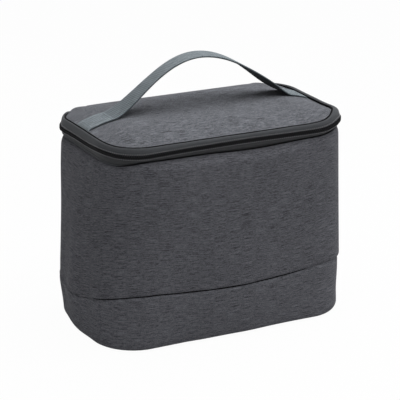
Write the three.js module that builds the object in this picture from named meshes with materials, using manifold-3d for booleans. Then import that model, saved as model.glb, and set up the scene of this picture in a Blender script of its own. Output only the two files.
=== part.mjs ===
// Insulated lunch bag: a soft padded box whose lid zips round three sides and folds open along its back edge.
// Millimetres. +X is the bag's right, +Y its back and +Z up. The origin is the middle of the base, on the floor.
import * as THREE from "three";
import { mergeVertices } from "three/addons/utils/BufferGeometryUtils.js";
import Module from "manifold-3d";

// Lid
const LID_WIDTH = 255;
const LID_DEPTH = 147;
const CORNER_RADIUS = 40;
const RIM_HEIGHT = 201.5;
const SEAM_INSET = 4.5;
const SEAM_DIP = 2;
const LID_CROWN = 8.5;
const CROWN_RUN = 40;
const LID_PAD = 3.8;
const LID_PAD_SETBACK = 1.2;

// Body: it is drawn in under the zip, flares towards the base, and each side bellies out between its corners
const MOUTH_PINCH = 1;
const BASE_FLARE = 3.5;
const FRONT_BOW = 6;
const SIDE_BOW = 6;
const BACK_BOW = 3;
const BELLY_LIFT = 0.65;
const BAND_HEIGHT = 55;
const BAND_TUCK = 4;
const BASE_ROLL = 8;
const MOUTH_LIP = 3;

// Thicknesses, and the gap between pieces that lie against each other
const FABRIC = 1.2;
const FOAM = 5;
const LINER = 0.8;
const BOARD = 1.5;
const TAPE = 0.8;
const BINDING = 0.8;
const BINDING_LEG = 7;
const LID_BINDING_WIDTH = 2.2;
const LID_BINDING_HEIGHT = 4;
const FIT_GAP = 0.3;

// Zip: two coils on two tapes, with a slot between the coils for the slider's post
const ZIP_DROP = 8;
const TAPE_SETBACK = 0.4;
const TAPE_STEP = 1.7;
const TAPE_HIDDEN = 9;
const CHAIN_SLOT = 1.6;
const COIL_HEIGHT = 2.1;
const COIL_PROUD = 1.3;
const COIL_START = 0.5;

// Zip slider, its bail and its pull tab
const SLIDER_LENGTH = 11;
const SLIDER_WIDTH = 9.6;
const SLIDER_PLATE = 1.1;
const SLIDER_CLEARANCE = 0.4;
const SLIDER_FLANGE = 0.8;
const SLIDER_FLANGE_LIP = 1.3;
const POST_WIDTH = 1;
const POST_LENGTH = 2;
const PARK_GAP = 1;
const BAIL_WIDTH = 2.4;
const BAIL_SPAN = 5.2;
const BAIL_WIRE = 1.3;
const BAIL_OPENING = 2;
const PULL_LENGTH = 27;
const PULL_WIDTH = 7;
const PULL_THICKNESS = 1.2;
const PULL_CLEARANCE = 0.6;

// Webbing handle: sewn flat at both ends, with a free arch that can be folded forwards or backwards
const STRAP_WIDTH = 25;
const STRAP_THICKNESS = 2;
const STRAP_OFFSET = 3;
const STRAP_SETBACK = 2.5;
const SEWN_LENGTH = 24;
const HANDLE_RISE = 49.8;
const ARCH_POWER = 1.6;
const HANDLE_SWING = 60;
const SWING_CLEARANCE = 2.5;

// Steps of the facets, and the step over which a slope is measured
const CORNER_STEPS = 5;
const SIDE_STEPS = 3;
const FRONT_STEPS = 4;
const ROLL_STEPS = 4;
const BAND_STEPS = 2;
const WALL_STEPS = 5;
const LID_STEPS = 5;
const STRAP_STEPS = 14;
const PULL_END_STEPS = 8;
const SLOPE_STEP = 0.01;

// Levels
const zipLevel = RIM_HEIGHT - ZIP_DROP;
const trackTop = zipLevel + SLIDER_WIDTH / 2;
const trackLow = zipLevel - SLIDER_WIDTH / 2;
const mouthLevel = trackLow - TAPE_STEP;
const paddingTop = mouthLevel - MOUTH_LIP - BINDING - FIT_GAP;
const boardLevel = FABRIC + FIT_GAP;
const baseFoamLevel = boardLevel + BOARD + FIT_GAP;
const baseLinerLevel = baseFoamLevel + FOAM + FIT_GAP;
const rollLevel = BASE_ROLL + FIT_GAP;
const lidFoamLevel = RIM_HEIGHT - SEAM_DIP - FABRIC - FIT_GAP - LID_PAD;
const lidLinerLevel = lidFoamLevel - FIT_GAP - LINER;

// Insets from the outer surface of the wall, layer by layer
const bandInset = FABRIC + FIT_GAP;
const hiddenTapeInset = FABRIC + FIT_GAP;
const foamInset = Math.max(bandInset + FABRIC, hiddenTapeInset + TAPE) + FIT_GAP;
const linerInset = foamInset + FOAM + FIT_GAP;
const bindingInset = linerInset + LINER + FIT_GAP;
const rollInset = bandInset + BASE_ROLL;
const basePanelInset = rollInset + FIT_GAP;
const lidPanelInset = SEAM_INSET + FIT_GAP;
const lidFoamInset = lidPanelInset + LID_PAD_SETBACK;

// The middle of each rounded corner, which every layer and level shares
const coreX = LID_WIDTH / 2 - CORNER_RADIUS;
const coreY = LID_DEPTH / 2 - CORNER_RADIUS;
const SMALLEST_RADIUS = 2;

// How far the wall stands outside the lid's rim at a level: drawn in at the mouth, flared at the base
function growth(level) {
  if (level >= mouthLevel) {
    const upTheStep = Math.min(1, (level - mouthLevel) / TAPE_STEP);
    return -MOUTH_PINCH * (1 - upTheStep);
  }
  const downTheWall = Math.min(1, (mouthLevel - level) / (mouthLevel - BAND_HEIGHT));
  return -MOUTH_PINCH + (MOUTH_PINCH + BASE_FLARE) * downTheWall;
}

// The share of a side's bow at a level: it is the same all the way round the rolled lower edge
function belly(level) {
  const height = Math.min(1, Math.max(rollLevel, level) / mouthLevel);
  return Math.sin(Math.PI * Math.pow(height, BELLY_LIFT));
}

// A place on the plan outline: a point of the inner rectangle, the direction out of it, and how far it bows
function place(x, y, angle, bow) {
  return { x, y, outX: Math.cos(angle), outY: Math.sin(angle), bow };
}

// The point at a place of the outline, some way in from the outer surface, at a level
function wallPoint(spot, inset, level) {
  const reach = CORNER_RADIUS + growth(level) + spot.bow * belly(level) - inset;
  const shrink = Math.max(0, SMALLEST_RADIUS - reach);
  const radius = Math.max(reach, SMALLEST_RADIUS);
  return new THREE.Vector3(
    spot.x * (1 - shrink / coreX) + spot.outX * radius,
    spot.y * (1 - shrink / coreY) + spot.outY * radius,
    level,
  );
}

// Places round a corner, between two shares of its quarter turn
function corner(x, y, startAngle, from = 0, to = 1) {
  const spots = [];
  for (let i = 0; i <= CORNER_STEPS; i++) {
    const share = from + ((to - from) * i) / CORNER_STEPS;
    spots.push(place(x, y, startAngle + (share * Math.PI) / 2, 0));
  }
  return spots;
}

// Places along a straight side, without its two ends, which belong to the corners
function side(fromX, fromY, toX, toY, angle, bow, steps) {
  const spots = [];
  for (let i = 1; i < steps; i++) {
    const share = i / steps;
    const across = 2 * share - 1;
    const x = fromX + (toX - fromX) * share;
    const y = fromY + (toY - fromY) * share;
    spots.push(place(x, y, angle, bow * Math.pow(1 - across * across, 2)));
  }
  return spots;
}

const QUARTER = Math.PI / 2;
const leftSide = side(-coreX, coreY, -coreX, -coreY, 2 * QUARTER, SIDE_BOW, SIDE_STEPS);
const frontLeft = corner(-coreX, -coreY, 2 * QUARTER);
const frontSide = side(-coreX, -coreY, coreX, -coreY, 3 * QUARTER, FRONT_BOW, FRONT_STEPS);
const frontRight = corner(coreX, -coreY, 3 * QUARTER);
const rightSide = side(coreX, -coreY, coreX, coreY, 0, SIDE_BOW, SIDE_STEPS);
const backSide = side(coreX, coreY, -coreX, coreY, QUARTER, BACK_BOW, FRONT_STEPS);

// The wrap runs from the back, round the left, front and right sides, to the back again
const wrap = [
  ...corner(-coreX, coreY, QUARTER),
  ...leftSide,
  ...frontLeft,
  ...frontSide,
  ...frontRight,
  ...rightSide,
  ...corner(coreX, coreY, 0),
];
const around = [...wrap, ...backSide];
const backEnd = coreX - FIT_GAP;
const backWall = [
  place(backEnd, coreY, QUARTER, 0),
  ...backSide,
  place(-backEnd, coreY, QUARTER, 0),
];

// A closed surface through loops of equally many points; an open run of loops is capped with the given triangles.
// Each facet is split from its lower corner to its higher one, so that layers which bow together nest.
function skin(loops, closed, capTriangles) {
  const count = loops[0].length;
  const points = loops.flat();
  const triangles = [];
  const spans = closed ? loops.length : loops.length - 1;
  for (let i = 0; i < spans; i++) {
    const here = i * count;
    const next = ((i + 1) % loops.length) * count;
    for (let j = 0; j < count; j++) {
      const k = (j + 1) % count;
      if (points[here + j].z <= points[here + k].z) {
        triangles.push([here + j, next + j, next + k], [here + j, next + k, here + k]);
      } else {
        triangles.push([here + j, next + j, here + k], [here + k, next + j, next + k]);
      }
    }
  }
  if (!closed) {
    const last = (loops.length - 1) * count;
    for (const [a, b, c] of capTriangles) {
      triangles.push([a, b, c], [last + c, last + b, last + a]);
    }
  }
  return facingOut(points, triangles);
}

// The mesh geometry of a closed surface, turned so that its faces point outwards
function facingOut(points, triangles) {
  let volume = 0;
  for (const [a, b, c] of triangles) {
    volume += points[a].dot(new THREE.Vector3().crossVectors(points[b], points[c]));
  }
  const ordered = volume < 0 ? triangles.map(([a, b, c]) => [a, c, b]) : triangles;
  const geometry = new THREE.BufferGeometry().setFromPoints(points);
  geometry.setIndex(ordered.flat());
  geometry.computeVertexNormals();
  return geometry;
}

// The triangles that fill a flat outline, turned so that their edges run from each of its points to the next
function capOf(outline) {
  const filled = THREE.ShapeUtils.triangulateShape(outline, []);
  const edges = new Set(filled.flatMap(([a, b, c]) => [`${a},${b}`, `${b},${c}`, `${c},${a}`]));
  return edges.has("0,1") ? filled : filled.map(([a, b, c]) => [a, c, b]);
}

// A strip of one cross-section, given as [inset, level] points, carried along a run of places
function strip(section, run, closed = false) {
  const loops = run.map((spot) => section.map(([inset, level]) => wallPoint(spot, inset, level)));
  const flat = section.map(([inset, level]) => new THREE.Vector2(inset, level));
  return skin(loops, closed, capOf(flat));
}

// A plate whose outline passes through [inset, level] rings, from the middle of one face to the middle of the other
function plate(rings) {
  const loops = rings.map(([inset, level]) => around.map((spot) => wallPoint(spot, inset, level)));
  const flat = loops[0].map((point) => new THREE.Vector2(point.x, point.y));
  return skin(loops, false, capOf(flat));
}

// A flat plate between two levels
function slab(inset, bottom, top) {
  return plate([
    [inset, bottom],
    [inset, top],
  ]);
}

// A wall section of one thickness that passes through the given [inset, level] points of its outer face
function wallSection(outerFace, thickness) {
  const innerFace = outerFace.map(([inset, level]) => [inset + thickness, level]).reverse();
  return [...outerFace, ...innerFace];
}

// Values spread evenly from one to another
function spread(from, to, steps) {
  return Array.from({ length: steps + 1 }, (_, i) => from + ((to - from) * i) / steps);
}

// Levels of a wall's layer from its lowest to its highest: every layer bends at the same levels
const bandBends = spread(rollLevel, BAND_HEIGHT, BAND_STEPS);
const wallBends = spread(BAND_HEIGHT, mouthLevel, WALL_STEPS);
const bendLevels = [...bandBends, ...wallBends.slice(1)];

function layerLevels(low, high) {
  return [low, ...bendLevels.filter((level) => level > low && level < high), high];
}

// Points of the rounded lower edge, from the vertical face down to an angle below it
function rollArc(radius, lastAngle) {
  return spread(lastAngle, 0, ROLL_STEPS).map((angle) => [
    rollInset - radius * Math.cos(angle),
    rollLevel - radius * Math.sin(angle),
  ]);
}

// Points of the rolled rim, from the zip's track up to the lid's seam, some way in from its outer face
function rimArc(depth) {
  return spread(0, QUARTER, ROLL_STEPS).map((angle) => [
    SEAM_INSET - (SEAM_INSET - TAPE_SETBACK - depth) * Math.cos(angle),
    trackTop + (RIM_HEIGHT - trackTop - depth) * Math.sin(angle),
  ]);
}

// Top of the lid's fabric at an inset from the rim: it rises from the seam to a padded crown
function lidTop(inset) {
  const share = Math.min(1, Math.max(0, (inset - lidPanelInset) / CROWN_RUN));
  return RIM_HEIGHT - SEAM_DIP + LID_CROWN * (1 - Math.pow(1 - share, 2));
}

// Finishes
const fabricFinish = { color: 0x4b4d51, roughness: 0.92, metalness: 0 };
const tapeFinish = { color: 0x3b3c40, roughness: 0.85, metalness: 0 };
const coilFinish = { color: 0x101113, roughness: 0.45, metalness: 0 };
const foamFinish = { color: 0xd9d9d6, roughness: 0.95, metalness: 0 };
const linerFinish = { color: 0xc4c7ca, roughness: 0.4, metalness: 0.2 };
const boardFinish = { color: 0x2a2b2d, roughness: 0.6, metalness: 0 };
const webbingFinish = { color: 0x6d767b, roughness: 0.88, metalness: 0 };
const metalFinish = { color: 0x2c2d30, roughness: 0.4, metalness: 0.8 };

const bag = new THREE.Group();

// Adds a named piece with a finish of its own
function add(name, geometry, finish) {
  const mesh = new THREE.Mesh(geometry, new THREE.MeshStandardMaterial(finish));
  mesh.name = name;
  bag.add(mesh);
  return mesh;
}

// Outer fabric: the wrap, the back panel up to the hinge line, the band round the base and the bottom panel
const wallFace = layerLevels(BAND_HEIGHT, mouthLevel).map((level) => [0, level]);
add("outer_wall", strip(wallSection(wallFace, FABRIC), wrap), fabricFinish);

const backFace = [...wallFace, [TAPE_SETBACK, trackLow], [TAPE_SETBACK, zipLevel - FIT_GAP]];
add("back_panel", strip(wallSection(backFace, FABRIC), backWall), fabricFinish);

const bandLevels = layerLevels(rollLevel, BAND_HEIGHT + BAND_TUCK).slice(1);
const bandSection = [
  ...rollArc(BASE_ROLL, QUARTER),
  ...bandLevels.map((level) => [bandInset, level]),
  ...bandLevels.map((level) => [bandInset + FABRIC, level]).reverse(),
  ...rollArc(BASE_ROLL - FABRIC, QUARTER).reverse(),
];
add("base_band", strip(bandSection, around, true), fabricFinish);
add("base_panel", slab(basePanelInset, 0, FABRIC), fabricFinish);
add("base_board", slab(basePanelInset, boardLevel, boardLevel + BOARD), boardFinish);

// Foam: the wrap, the back and the base
const foamRollRadius = rollInset - foamInset;
const foamRollEnd = Math.acos((rollInset - foamInset - FOAM) / foamRollRadius);
const foamLevels = layerLevels(rollLevel, paddingTop);
const foamSection = [
  ...rollArc(foamRollRadius, foamRollEnd),
  ...foamLevels.slice(1).map((level) => [foamInset, level]),
  ...foamLevels.map((level) => [foamInset + FOAM, level]).reverse(),
];
add("wall_foam", strip(foamSection, wrap), foamFinish);
add("back_foam", strip(foamSection, backWall), foamFinish);

const bandInnerRadius = BASE_ROLL - FABRIC;
const baseFoamDrop = Math.min(bandInnerRadius, rollLevel - baseFoamLevel);
const bandInnerInset = rollInset - Math.sqrt(bandInnerRadius ** 2 - baseFoamDrop ** 2);
const baseFoamInset = Math.max(foamInset + FOAM, bandInnerInset) + FIT_GAP;
add("base_foam", slab(baseFoamInset, baseFoamLevel, baseFoamLevel + FOAM), foamFinish);

// Lining: the wall, the base, and a binding over the top of the padding
const linerFace = layerLevels(baseLinerLevel, paddingTop).map((level) => [linerInset, level]);
add("liner_wall", strip(wallSection(linerFace, LINER), around, true), linerFinish);
add("liner_base", slab(bindingInset, baseLinerLevel, baseLinerLevel + LINER), linerFinish);

const bindingLow = paddingTop + FIT_GAP;
const bindingHigh = bindingLow + BINDING;
const mouthBindingSection = [
  [foamInset, bindingLow],
  [foamInset, bindingHigh],
  [bindingInset + BINDING, bindingHigh],
  [bindingInset + BINDING, bindingHigh - BINDING_LEG],
  [bindingInset, bindingHigh - BINDING_LEG],
  [bindingInset, bindingLow],
];
add("mouth_binding", strip(mouthBindingSection, around, true), tapeFinish);

// Lid: fabric top, foam, lining, a binding round the lining, and the fold of fabric along its back edge
const crownInsets = spread(lidPanelInset, lidPanelInset + CROWN_RUN, LID_STEPS);
const lidTopRings = crownInsets.map((inset) => [inset, lidTop(inset)]);
const lidUnderRings = crownInsets.map((inset) => [inset, lidTop(inset) - FABRIC]).reverse();
add("lid_top_panel", plate([...lidUnderRings, ...lidTopRings]), fabricFinish);

const padInsets = spread(lidFoamInset, lidPanelInset + CROWN_RUN, LID_STEPS);
const padRings = padInsets.map((inset) => [inset, lidTop(inset) - FABRIC - FIT_GAP]);
add("lid_foam", plate([[lidFoamInset, lidFoamLevel], ...padRings]), foamFinish);
add("lid_liner", slab(lidFoamInset, lidLinerLevel, lidLinerLevel + LINER), linerFinish);

const lidBindingEdge = lidFoamInset - FIT_GAP;
const lidBindingSection = [
  [lidBindingEdge - LID_BINDING_WIDTH, lidLinerLevel],
  [lidBindingEdge - LID_BINDING_WIDTH, lidLinerLevel + LID_BINDING_HEIGHT],
  [lidBindingEdge, lidLinerLevel + LID_BINDING_HEIGHT],
  [lidBindingEdge, lidLinerLevel],
];
add("lid_binding", strip(lidBindingSection, around, true), tapeFinish);

const foldSection = [
  [TAPE_SETBACK, zipLevel + FIT_GAP],
  ...rimArc(0),
  ...rimArc(FABRIC).reverse(),
  [TAPE_SETBACK + FABRIC, zipLevel + FIT_GAP],
];
add("lid_back_fold", strip(foldSection, backWall), fabricFinish);

// Zip tapes: the upper one rolls over the lid's edge, the lower one steps in behind the wall
const coilNear = CHAIN_SLOT / 2;
const coilFar = coilNear + COIL_HEIGHT;
const upperTapeSection = [
  [TAPE_SETBACK, zipLevel + coilNear],
  ...rimArc(0),
  ...rimArc(TAPE).reverse(),
  [TAPE_SETBACK + TAPE, zipLevel + coilNear],
];
add("zip_tape_upper", strip(upperTapeSection, wrap), tapeFinish);

const lowerTapeFace = [
  [hiddenTapeInset, mouthLevel - TAPE_HIDDEN],
  [hiddenTapeInset, mouthLevel],
  [TAPE_SETBACK, trackLow],
  [TAPE_SETBACK, zipLevel - coilNear],
];
add("zip_tape_lower", strip(wallSection(lowerTapeFace, TAPE), wrap), tapeFinish);

// Zip coils: from the back left corner to the parked slider, on the outside of the tapes
const sliderY = coreY - SLIDER_LENGTH / 2 - PARK_GAP;
const sliderTail = sliderY - SLIDER_LENGTH / 2;
const coilStart = [...corner(-coreX, coreY, QUARTER, COIL_START), ...leftSide, ...frontLeft, ...frontSide];

// The run of a coil that ends on the right side at the given distance towards the back
function coilRun(endY) {
  return [...coilStart, ...frontRight, place(coreX, endY, 0, 0)];
}

// Section of a coil whose near edge faces the middle of the chain; direction is 1 above it and -1 below
function coilSection(direction) {
  const seat = TAPE_SETBACK - FIT_GAP;
  const shoulder = seat - COIL_PROUD / 2;
  const crest = seat - COIL_PROUD;
  const rounding = COIL_HEIGHT / 4;
  return [
    [seat, zipLevel + direction * coilNear],
    [shoulder, zipLevel + direction * coilNear],
    [crest, zipLevel + direction * (coilNear + rounding)],
    [crest, zipLevel + direction * (coilFar - rounding)],
    [shoulder, zipLevel + direction * coilFar],
    [seat, zipLevel + direction * coilFar],
  ];
}
const upperCoilRun = coilRun(sliderTail - SLIDER_CLEARANCE);
const lowerCoilRun = coilRun(sliderY);
add("zip_coil_upper", strip(coilSection(1), upperCoilRun), coilFinish);
add("zip_coil_lower", strip(coilSection(-1), lowerCoilRun), coilFinish);

// Handle: the strap's ends follow the lid, and its free arch rises between the two rows of stitching
const strapEndX = LID_WIDTH / 2 - lidPanelInset - STRAP_SETBACK;
const liftX = strapEndX - SEWN_LENGTH;
const liftLevel = lidTop(LID_WIDTH / 2 - liftX) + FIT_GAP;
const swingRadians = THREE.MathUtils.degToRad(HANDLE_SWING);
const gripClearance = (STRAP_WIDTH / 2) * Math.tan(swingRadians) + SWING_CLEARANCE;
const gripShare = Math.pow(gripClearance / HANDLE_RISE, 1 / ARCH_POWER);
const gripX = liftX * Math.sqrt(1 - gripShare);

// Underside of the strap at a distance along the bag's width
function strapLevel(x) {
  const distance = Math.abs(x);
  if (distance >= liftX) return lidTop(LID_WIDTH / 2 - distance) + FIT_GAP;
  const share = 1 - (distance / liftX) ** 2;
  return liftLevel + HANDLE_RISE * Math.pow(share, ARCH_POWER);
}

// Slope of the strap's underside, measured on the side of a point that is nearer the middle
function strapSlope(x) {
  const nearerX = x - Math.sign(x) * SLOPE_STEP;
  return x === nearerX ? 0 : (strapLevel(x) - strapLevel(nearerX)) / (x - nearerX);
}

// A length of strap between two distances along the bag's width
function strapLength(fromX, toX, steps) {
  const loops = spread(fromX, toX, steps).map((x) => {
    const up = new THREE.Vector3(-strapSlope(x), 0, 1).setLength(STRAP_THICKNESS);
    const corners = [-1, 1].map((half) => {
      return new THREE.Vector3(x, STRAP_OFFSET + (half * STRAP_WIDTH) / 2, strapLevel(x));
    });
    return [corners[0], corners[1], corners[1].clone().add(up), corners[0].clone().add(up)];
  });
  const flat = loops[0].map((point) => new THREE.Vector2(point.y, point.z));
  return skin(loops, false, capOf(flat));
}

add("handle_grip", strapLength(-gripX, gripX, STRAP_STEPS), webbingFinish);
for (const [name, sign] of [
  ["left", -1],
  ["right", 1],
]) {
  const legFrom = sign * (gripX + FIT_GAP);
  const legTo = sign * (liftX - FIT_GAP);
  add(`handle_leg_${name}`, strapLength(legFrom, legTo, STRAP_STEPS / 2), webbingFinish);
  add(`handle_end_${name}`, strapLength(sign * liftX, sign * strapEndX, STRAP_STEPS / 2), webbingFinish);
}

// Solids for joining: only positions are kept, and shared corners are merged
const wasm = await Module();
wasm.setup();

function solidOf(geometry) {
  const bare = geometry.clone();
  bare.deleteAttribute("normal");
  bare.deleteAttribute("uv");
  const merged = mergeVertices(bare);
  return new wasm.Manifold(
    new wasm.Mesh({
      numProp: 3,
      vertProperties: new Float32Array(merged.attributes.position.array),
      triVerts: new Uint32Array(merged.index.array),
    }),
  );
}

function geometryOf(solid) {
  const mesh = solid.getMesh();
  const geometry = new THREE.BufferGeometry();
  geometry.setAttribute("position", new THREE.BufferAttribute(mesh.vertProperties, 3));
  geometry.setIndex(new THREE.BufferAttribute(mesh.triVerts, 1));
  geometry.computeVertexNormals();
  return geometry;
}

// A block between two corners
function block(from, to) {
  const low = new THREE.Vector3(...from);
  const size = new THREE.Vector3(...to).sub(low);
  const geometry = new THREE.BoxGeometry(size.x, size.y, size.z);
  geometry.translate(low.x + size.x / 2, low.y + size.y / 2, low.z + size.z / 2);
  return geometry;
}

// Zip slider: its own frame has X out of the bag's right side, Y to the back and Z up, centred on the chain
const channelOut = COIL_PROUD + FIT_GAP - TAPE_SETBACK + SLIDER_CLEARANCE;
const channelIn = -(TAPE_SETBACK + TAPE + SLIDER_CLEARANCE);
const plateOut = channelOut + SLIDER_PLATE;
const plateIn = channelIn - SLIDER_PLATE;
const halfLength = SLIDER_LENGTH / 2;
const halfWidth = SLIDER_WIDTH / 2;
const postFrom = halfLength - POST_LENGTH;
const flangeFrom = halfWidth - SLIDER_FLANGE;

const sliderBlocks = [
  block([channelOut, -halfLength, -halfWidth], [plateOut, halfLength, halfWidth]),
  block([plateIn, -halfLength, -halfWidth], [channelIn, halfLength, halfWidth]),
  block([plateIn, postFrom, -POST_WIDTH / 2], [plateOut, halfLength, POST_WIDTH / 2]),
];
for (const [low, high] of [
  [flangeFrom, halfWidth],
  [-halfWidth, -flangeFrom],
]) {
  const lip = channelOut - SLIDER_FLANGE_LIP;
  sliderBlocks.push(block([lip, -halfLength, low], [plateOut, halfLength, high]));
}
const sliderSolid = sliderBlocks.map(solidOf).reduce((whole, piece) => whole.add(piece));

// Bail: a bridge over the outer plate, which holds the pull tab's bar
const bailIn = plateOut + FIT_GAP;
const bailOut = bailIn + BAIL_OPENING + BAIL_WIRE;
const bailFoot = BAIL_SPAN / 2 + BAIL_WIRE;
const bailShape = new THREE.Shape([
  new THREE.Vector2(bailIn, -bailFoot),
  new THREE.Vector2(bailOut - BAIL_WIRE / 2, -bailFoot),
  new THREE.Vector2(bailOut, -bailFoot + BAIL_WIRE),
  new THREE.Vector2(bailOut, bailFoot - BAIL_WIRE),
  new THREE.Vector2(bailOut - BAIL_WIRE / 2, bailFoot),
  new THREE.Vector2(bailIn, bailFoot),
  new THREE.Vector2(bailIn, BAIL_SPAN / 2),
  new THREE.Vector2(bailIn + BAIL_OPENING, BAIL_SPAN / 2),
  new THREE.Vector2(bailIn + BAIL_OPENING, -BAIL_SPAN / 2),
  new THREE.Vector2(bailIn, -BAIL_SPAN / 2),
]);
const bailGeometry = new THREE.ExtrudeGeometry(bailShape, { depth: BAIL_WIDTH, bevelEnabled: false });
bailGeometry.translate(0, 0, -BAIL_WIDTH / 2);

// Pull tab: a rounded plate with a window round the bail's front foot; its bar turns inside the bail
const pivotX = bailIn + BAIL_OPENING / 2;
const barHalf = PULL_THICKNESS / 2;
const windowHalf = BAIL_WIDTH / 2 + PULL_CLEARANCE;
const windowEnd = Math.hypot(bailFoot, bailOut - pivotX) + PULL_CLEARANCE;
const pullHalf = PULL_WIDTH / 2;
const pullShape = new THREE.Shape();
pullShape.moveTo(-pullHalf, barHalf);
pullShape.lineTo(-pullHalf, pullHalf - PULL_LENGTH);
pullShape.absarc(0, pullHalf - PULL_LENGTH, pullHalf, Math.PI, 2 * Math.PI, false);
pullShape.lineTo(pullHalf, barHalf);
pullShape.closePath();
const pullWindow = new THREE.Path([
  new THREE.Vector2(-windowHalf, -barHalf),
  new THREE.Vector2(windowHalf, -barHalf),
  new THREE.Vector2(windowHalf, -windowEnd),
  new THREE.Vector2(-windowHalf, -windowEnd),
]);
pullShape.holes.push(pullWindow);
const pullGeometry = new THREE.ExtrudeGeometry(pullShape, {
  depth: PULL_THICKNESS,
  bevelEnabled: false,
  curveSegments: PULL_END_STEPS,
});
pullGeometry.translate(0, 0, -PULL_THICKNESS / 2);
pullGeometry.rotateY(QUARTER);
pullGeometry.translate(pivotX, 0, 0);

for (const [name, geometry] of [
  ["slider_body", geometryOf(sliderSolid)],
  ["slider_bail", bailGeometry],
  ["pull_tab", pullGeometry],
]) {
  add(name, geometry, metalFinish).position.set(LID_WIDTH / 2, sliderY, zipLevel);
}

export default bag;
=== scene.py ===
"""Insulated lunch bag: sewn fabric, zip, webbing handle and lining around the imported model, in metres."""

import logging
import math
from contextlib import contextmanager
from dataclasses import dataclass, field
from enum import Enum
from typing import Callable, Iterator, Sequence, Union

import bpy
import numpy as np
from mathutils import Matrix, Vector, noise


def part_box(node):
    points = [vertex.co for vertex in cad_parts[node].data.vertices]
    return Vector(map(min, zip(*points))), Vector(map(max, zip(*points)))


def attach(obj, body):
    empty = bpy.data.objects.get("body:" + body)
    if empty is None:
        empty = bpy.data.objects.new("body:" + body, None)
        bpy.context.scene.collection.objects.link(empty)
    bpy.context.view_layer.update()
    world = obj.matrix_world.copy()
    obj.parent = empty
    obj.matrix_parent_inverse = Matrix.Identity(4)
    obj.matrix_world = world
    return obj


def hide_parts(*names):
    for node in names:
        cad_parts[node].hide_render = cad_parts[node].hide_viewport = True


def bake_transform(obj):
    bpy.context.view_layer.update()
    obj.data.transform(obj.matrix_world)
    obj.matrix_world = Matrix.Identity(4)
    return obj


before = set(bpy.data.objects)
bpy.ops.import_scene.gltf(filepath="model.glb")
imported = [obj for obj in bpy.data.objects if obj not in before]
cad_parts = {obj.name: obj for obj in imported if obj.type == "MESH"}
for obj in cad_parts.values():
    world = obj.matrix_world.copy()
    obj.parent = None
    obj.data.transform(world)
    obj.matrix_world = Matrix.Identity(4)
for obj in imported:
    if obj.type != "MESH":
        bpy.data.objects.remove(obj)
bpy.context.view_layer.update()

LOG = logging.getLogger("lunch_bag")
MM = 0.001
TAU = 2 * math.pi
QUARTER = math.pi / 2
IMAGE_SIDE = 400
BEAD_POWER = 0.7
LONG_EDGE = 0.5 * MM

Piece = bpy.types.Object
Material = bpy.types.Material
World = bpy.types.World
Pair = tuple[float, float]
Triple = tuple[float, float, float]
Colour = Triple
Profile = list[Pair]
ProfileAt = Callable[[float], Profile]
Waves = tuple[Triple, ...]
Laid = tuple[Vector, Pair]


class Body(Enum):
    """The moving bodies of the bag."""

    BAG = "bag_body"
    LID = "lid"
    HANDLE = "handle"
    SLIDER = "zip_slider"
    PULL = "zip_pull"


class Slot(Enum):
    """The record's material slots."""

    FABRIC = "charcoal_fabric"
    TAPE = "zip_tape"
    COIL = "zip_coil"
    WEBBING = "webbing"
    BINDING = "binding"
    LINER = "liner"
    FOAM = "foam"
    BOARD = "base_board"
    METAL = "zip_metal"


class Field:
    """A value that varies over a surface: a node's socket, where arithmetic adds Math nodes."""

    def __init__(self, graph: "FinishGraph", socket: bpy.types.NodeSocket) -> None:
        """Wraps a socket of a graph."""
        self.graph = graph
        self.socket = socket

    def _math(self, operation: str, *terms: "Term") -> "Field":
        """Adds a Math node on the given terms."""
        return self.graph.node("ShaderNodeMath", {"operation": operation}, dict(enumerate(terms)))

    def __add__(self, other: "Term") -> "Field":
        """Sum."""
        return self._math("ADD", self, other)

    __radd__ = __add__

    def __sub__(self, other: "Term") -> "Field":
        """Difference."""
        return self._math("SUBTRACT", self, other)

    def __rsub__(self, other: "Term") -> "Field":
        """Difference from a plain number."""
        return self._math("SUBTRACT", other, self)

    def __mul__(self, other: "Term") -> "Field":
        """Product."""
        return self._math("MULTIPLY", self, other)

    __rmul__ = __mul__

    def __truediv__(self, other: "Term") -> "Field":
        """Quotient."""
        return self._math("DIVIDE", self, other)

    def sine(self) -> "Field":
        """Sine of an angle in radians."""
        return self._math("SINE", self)

    def wave(self, length: float) -> "Field":
        """A sine wave of a length."""
        return (self * (TAU / length)).sine()

    def size(self) -> "Field":
        """Absolute value."""
        return self._math("ABSOLUTE", self)

    def limited(self) -> "Field":
        """The value held between 0 and 1."""
        return self.graph.node("ShaderNodeClamp", {}, {0: self})

    def between(self, start: float, end: float) -> "Field":
        """The share of the way from a start to an end."""
        return ((self - start) / (end - start)).limited()


Term = Union[Field, float]
SocketValue = Union[Field, float, tuple]
Sockets = dict[str, SocketValue]


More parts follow.
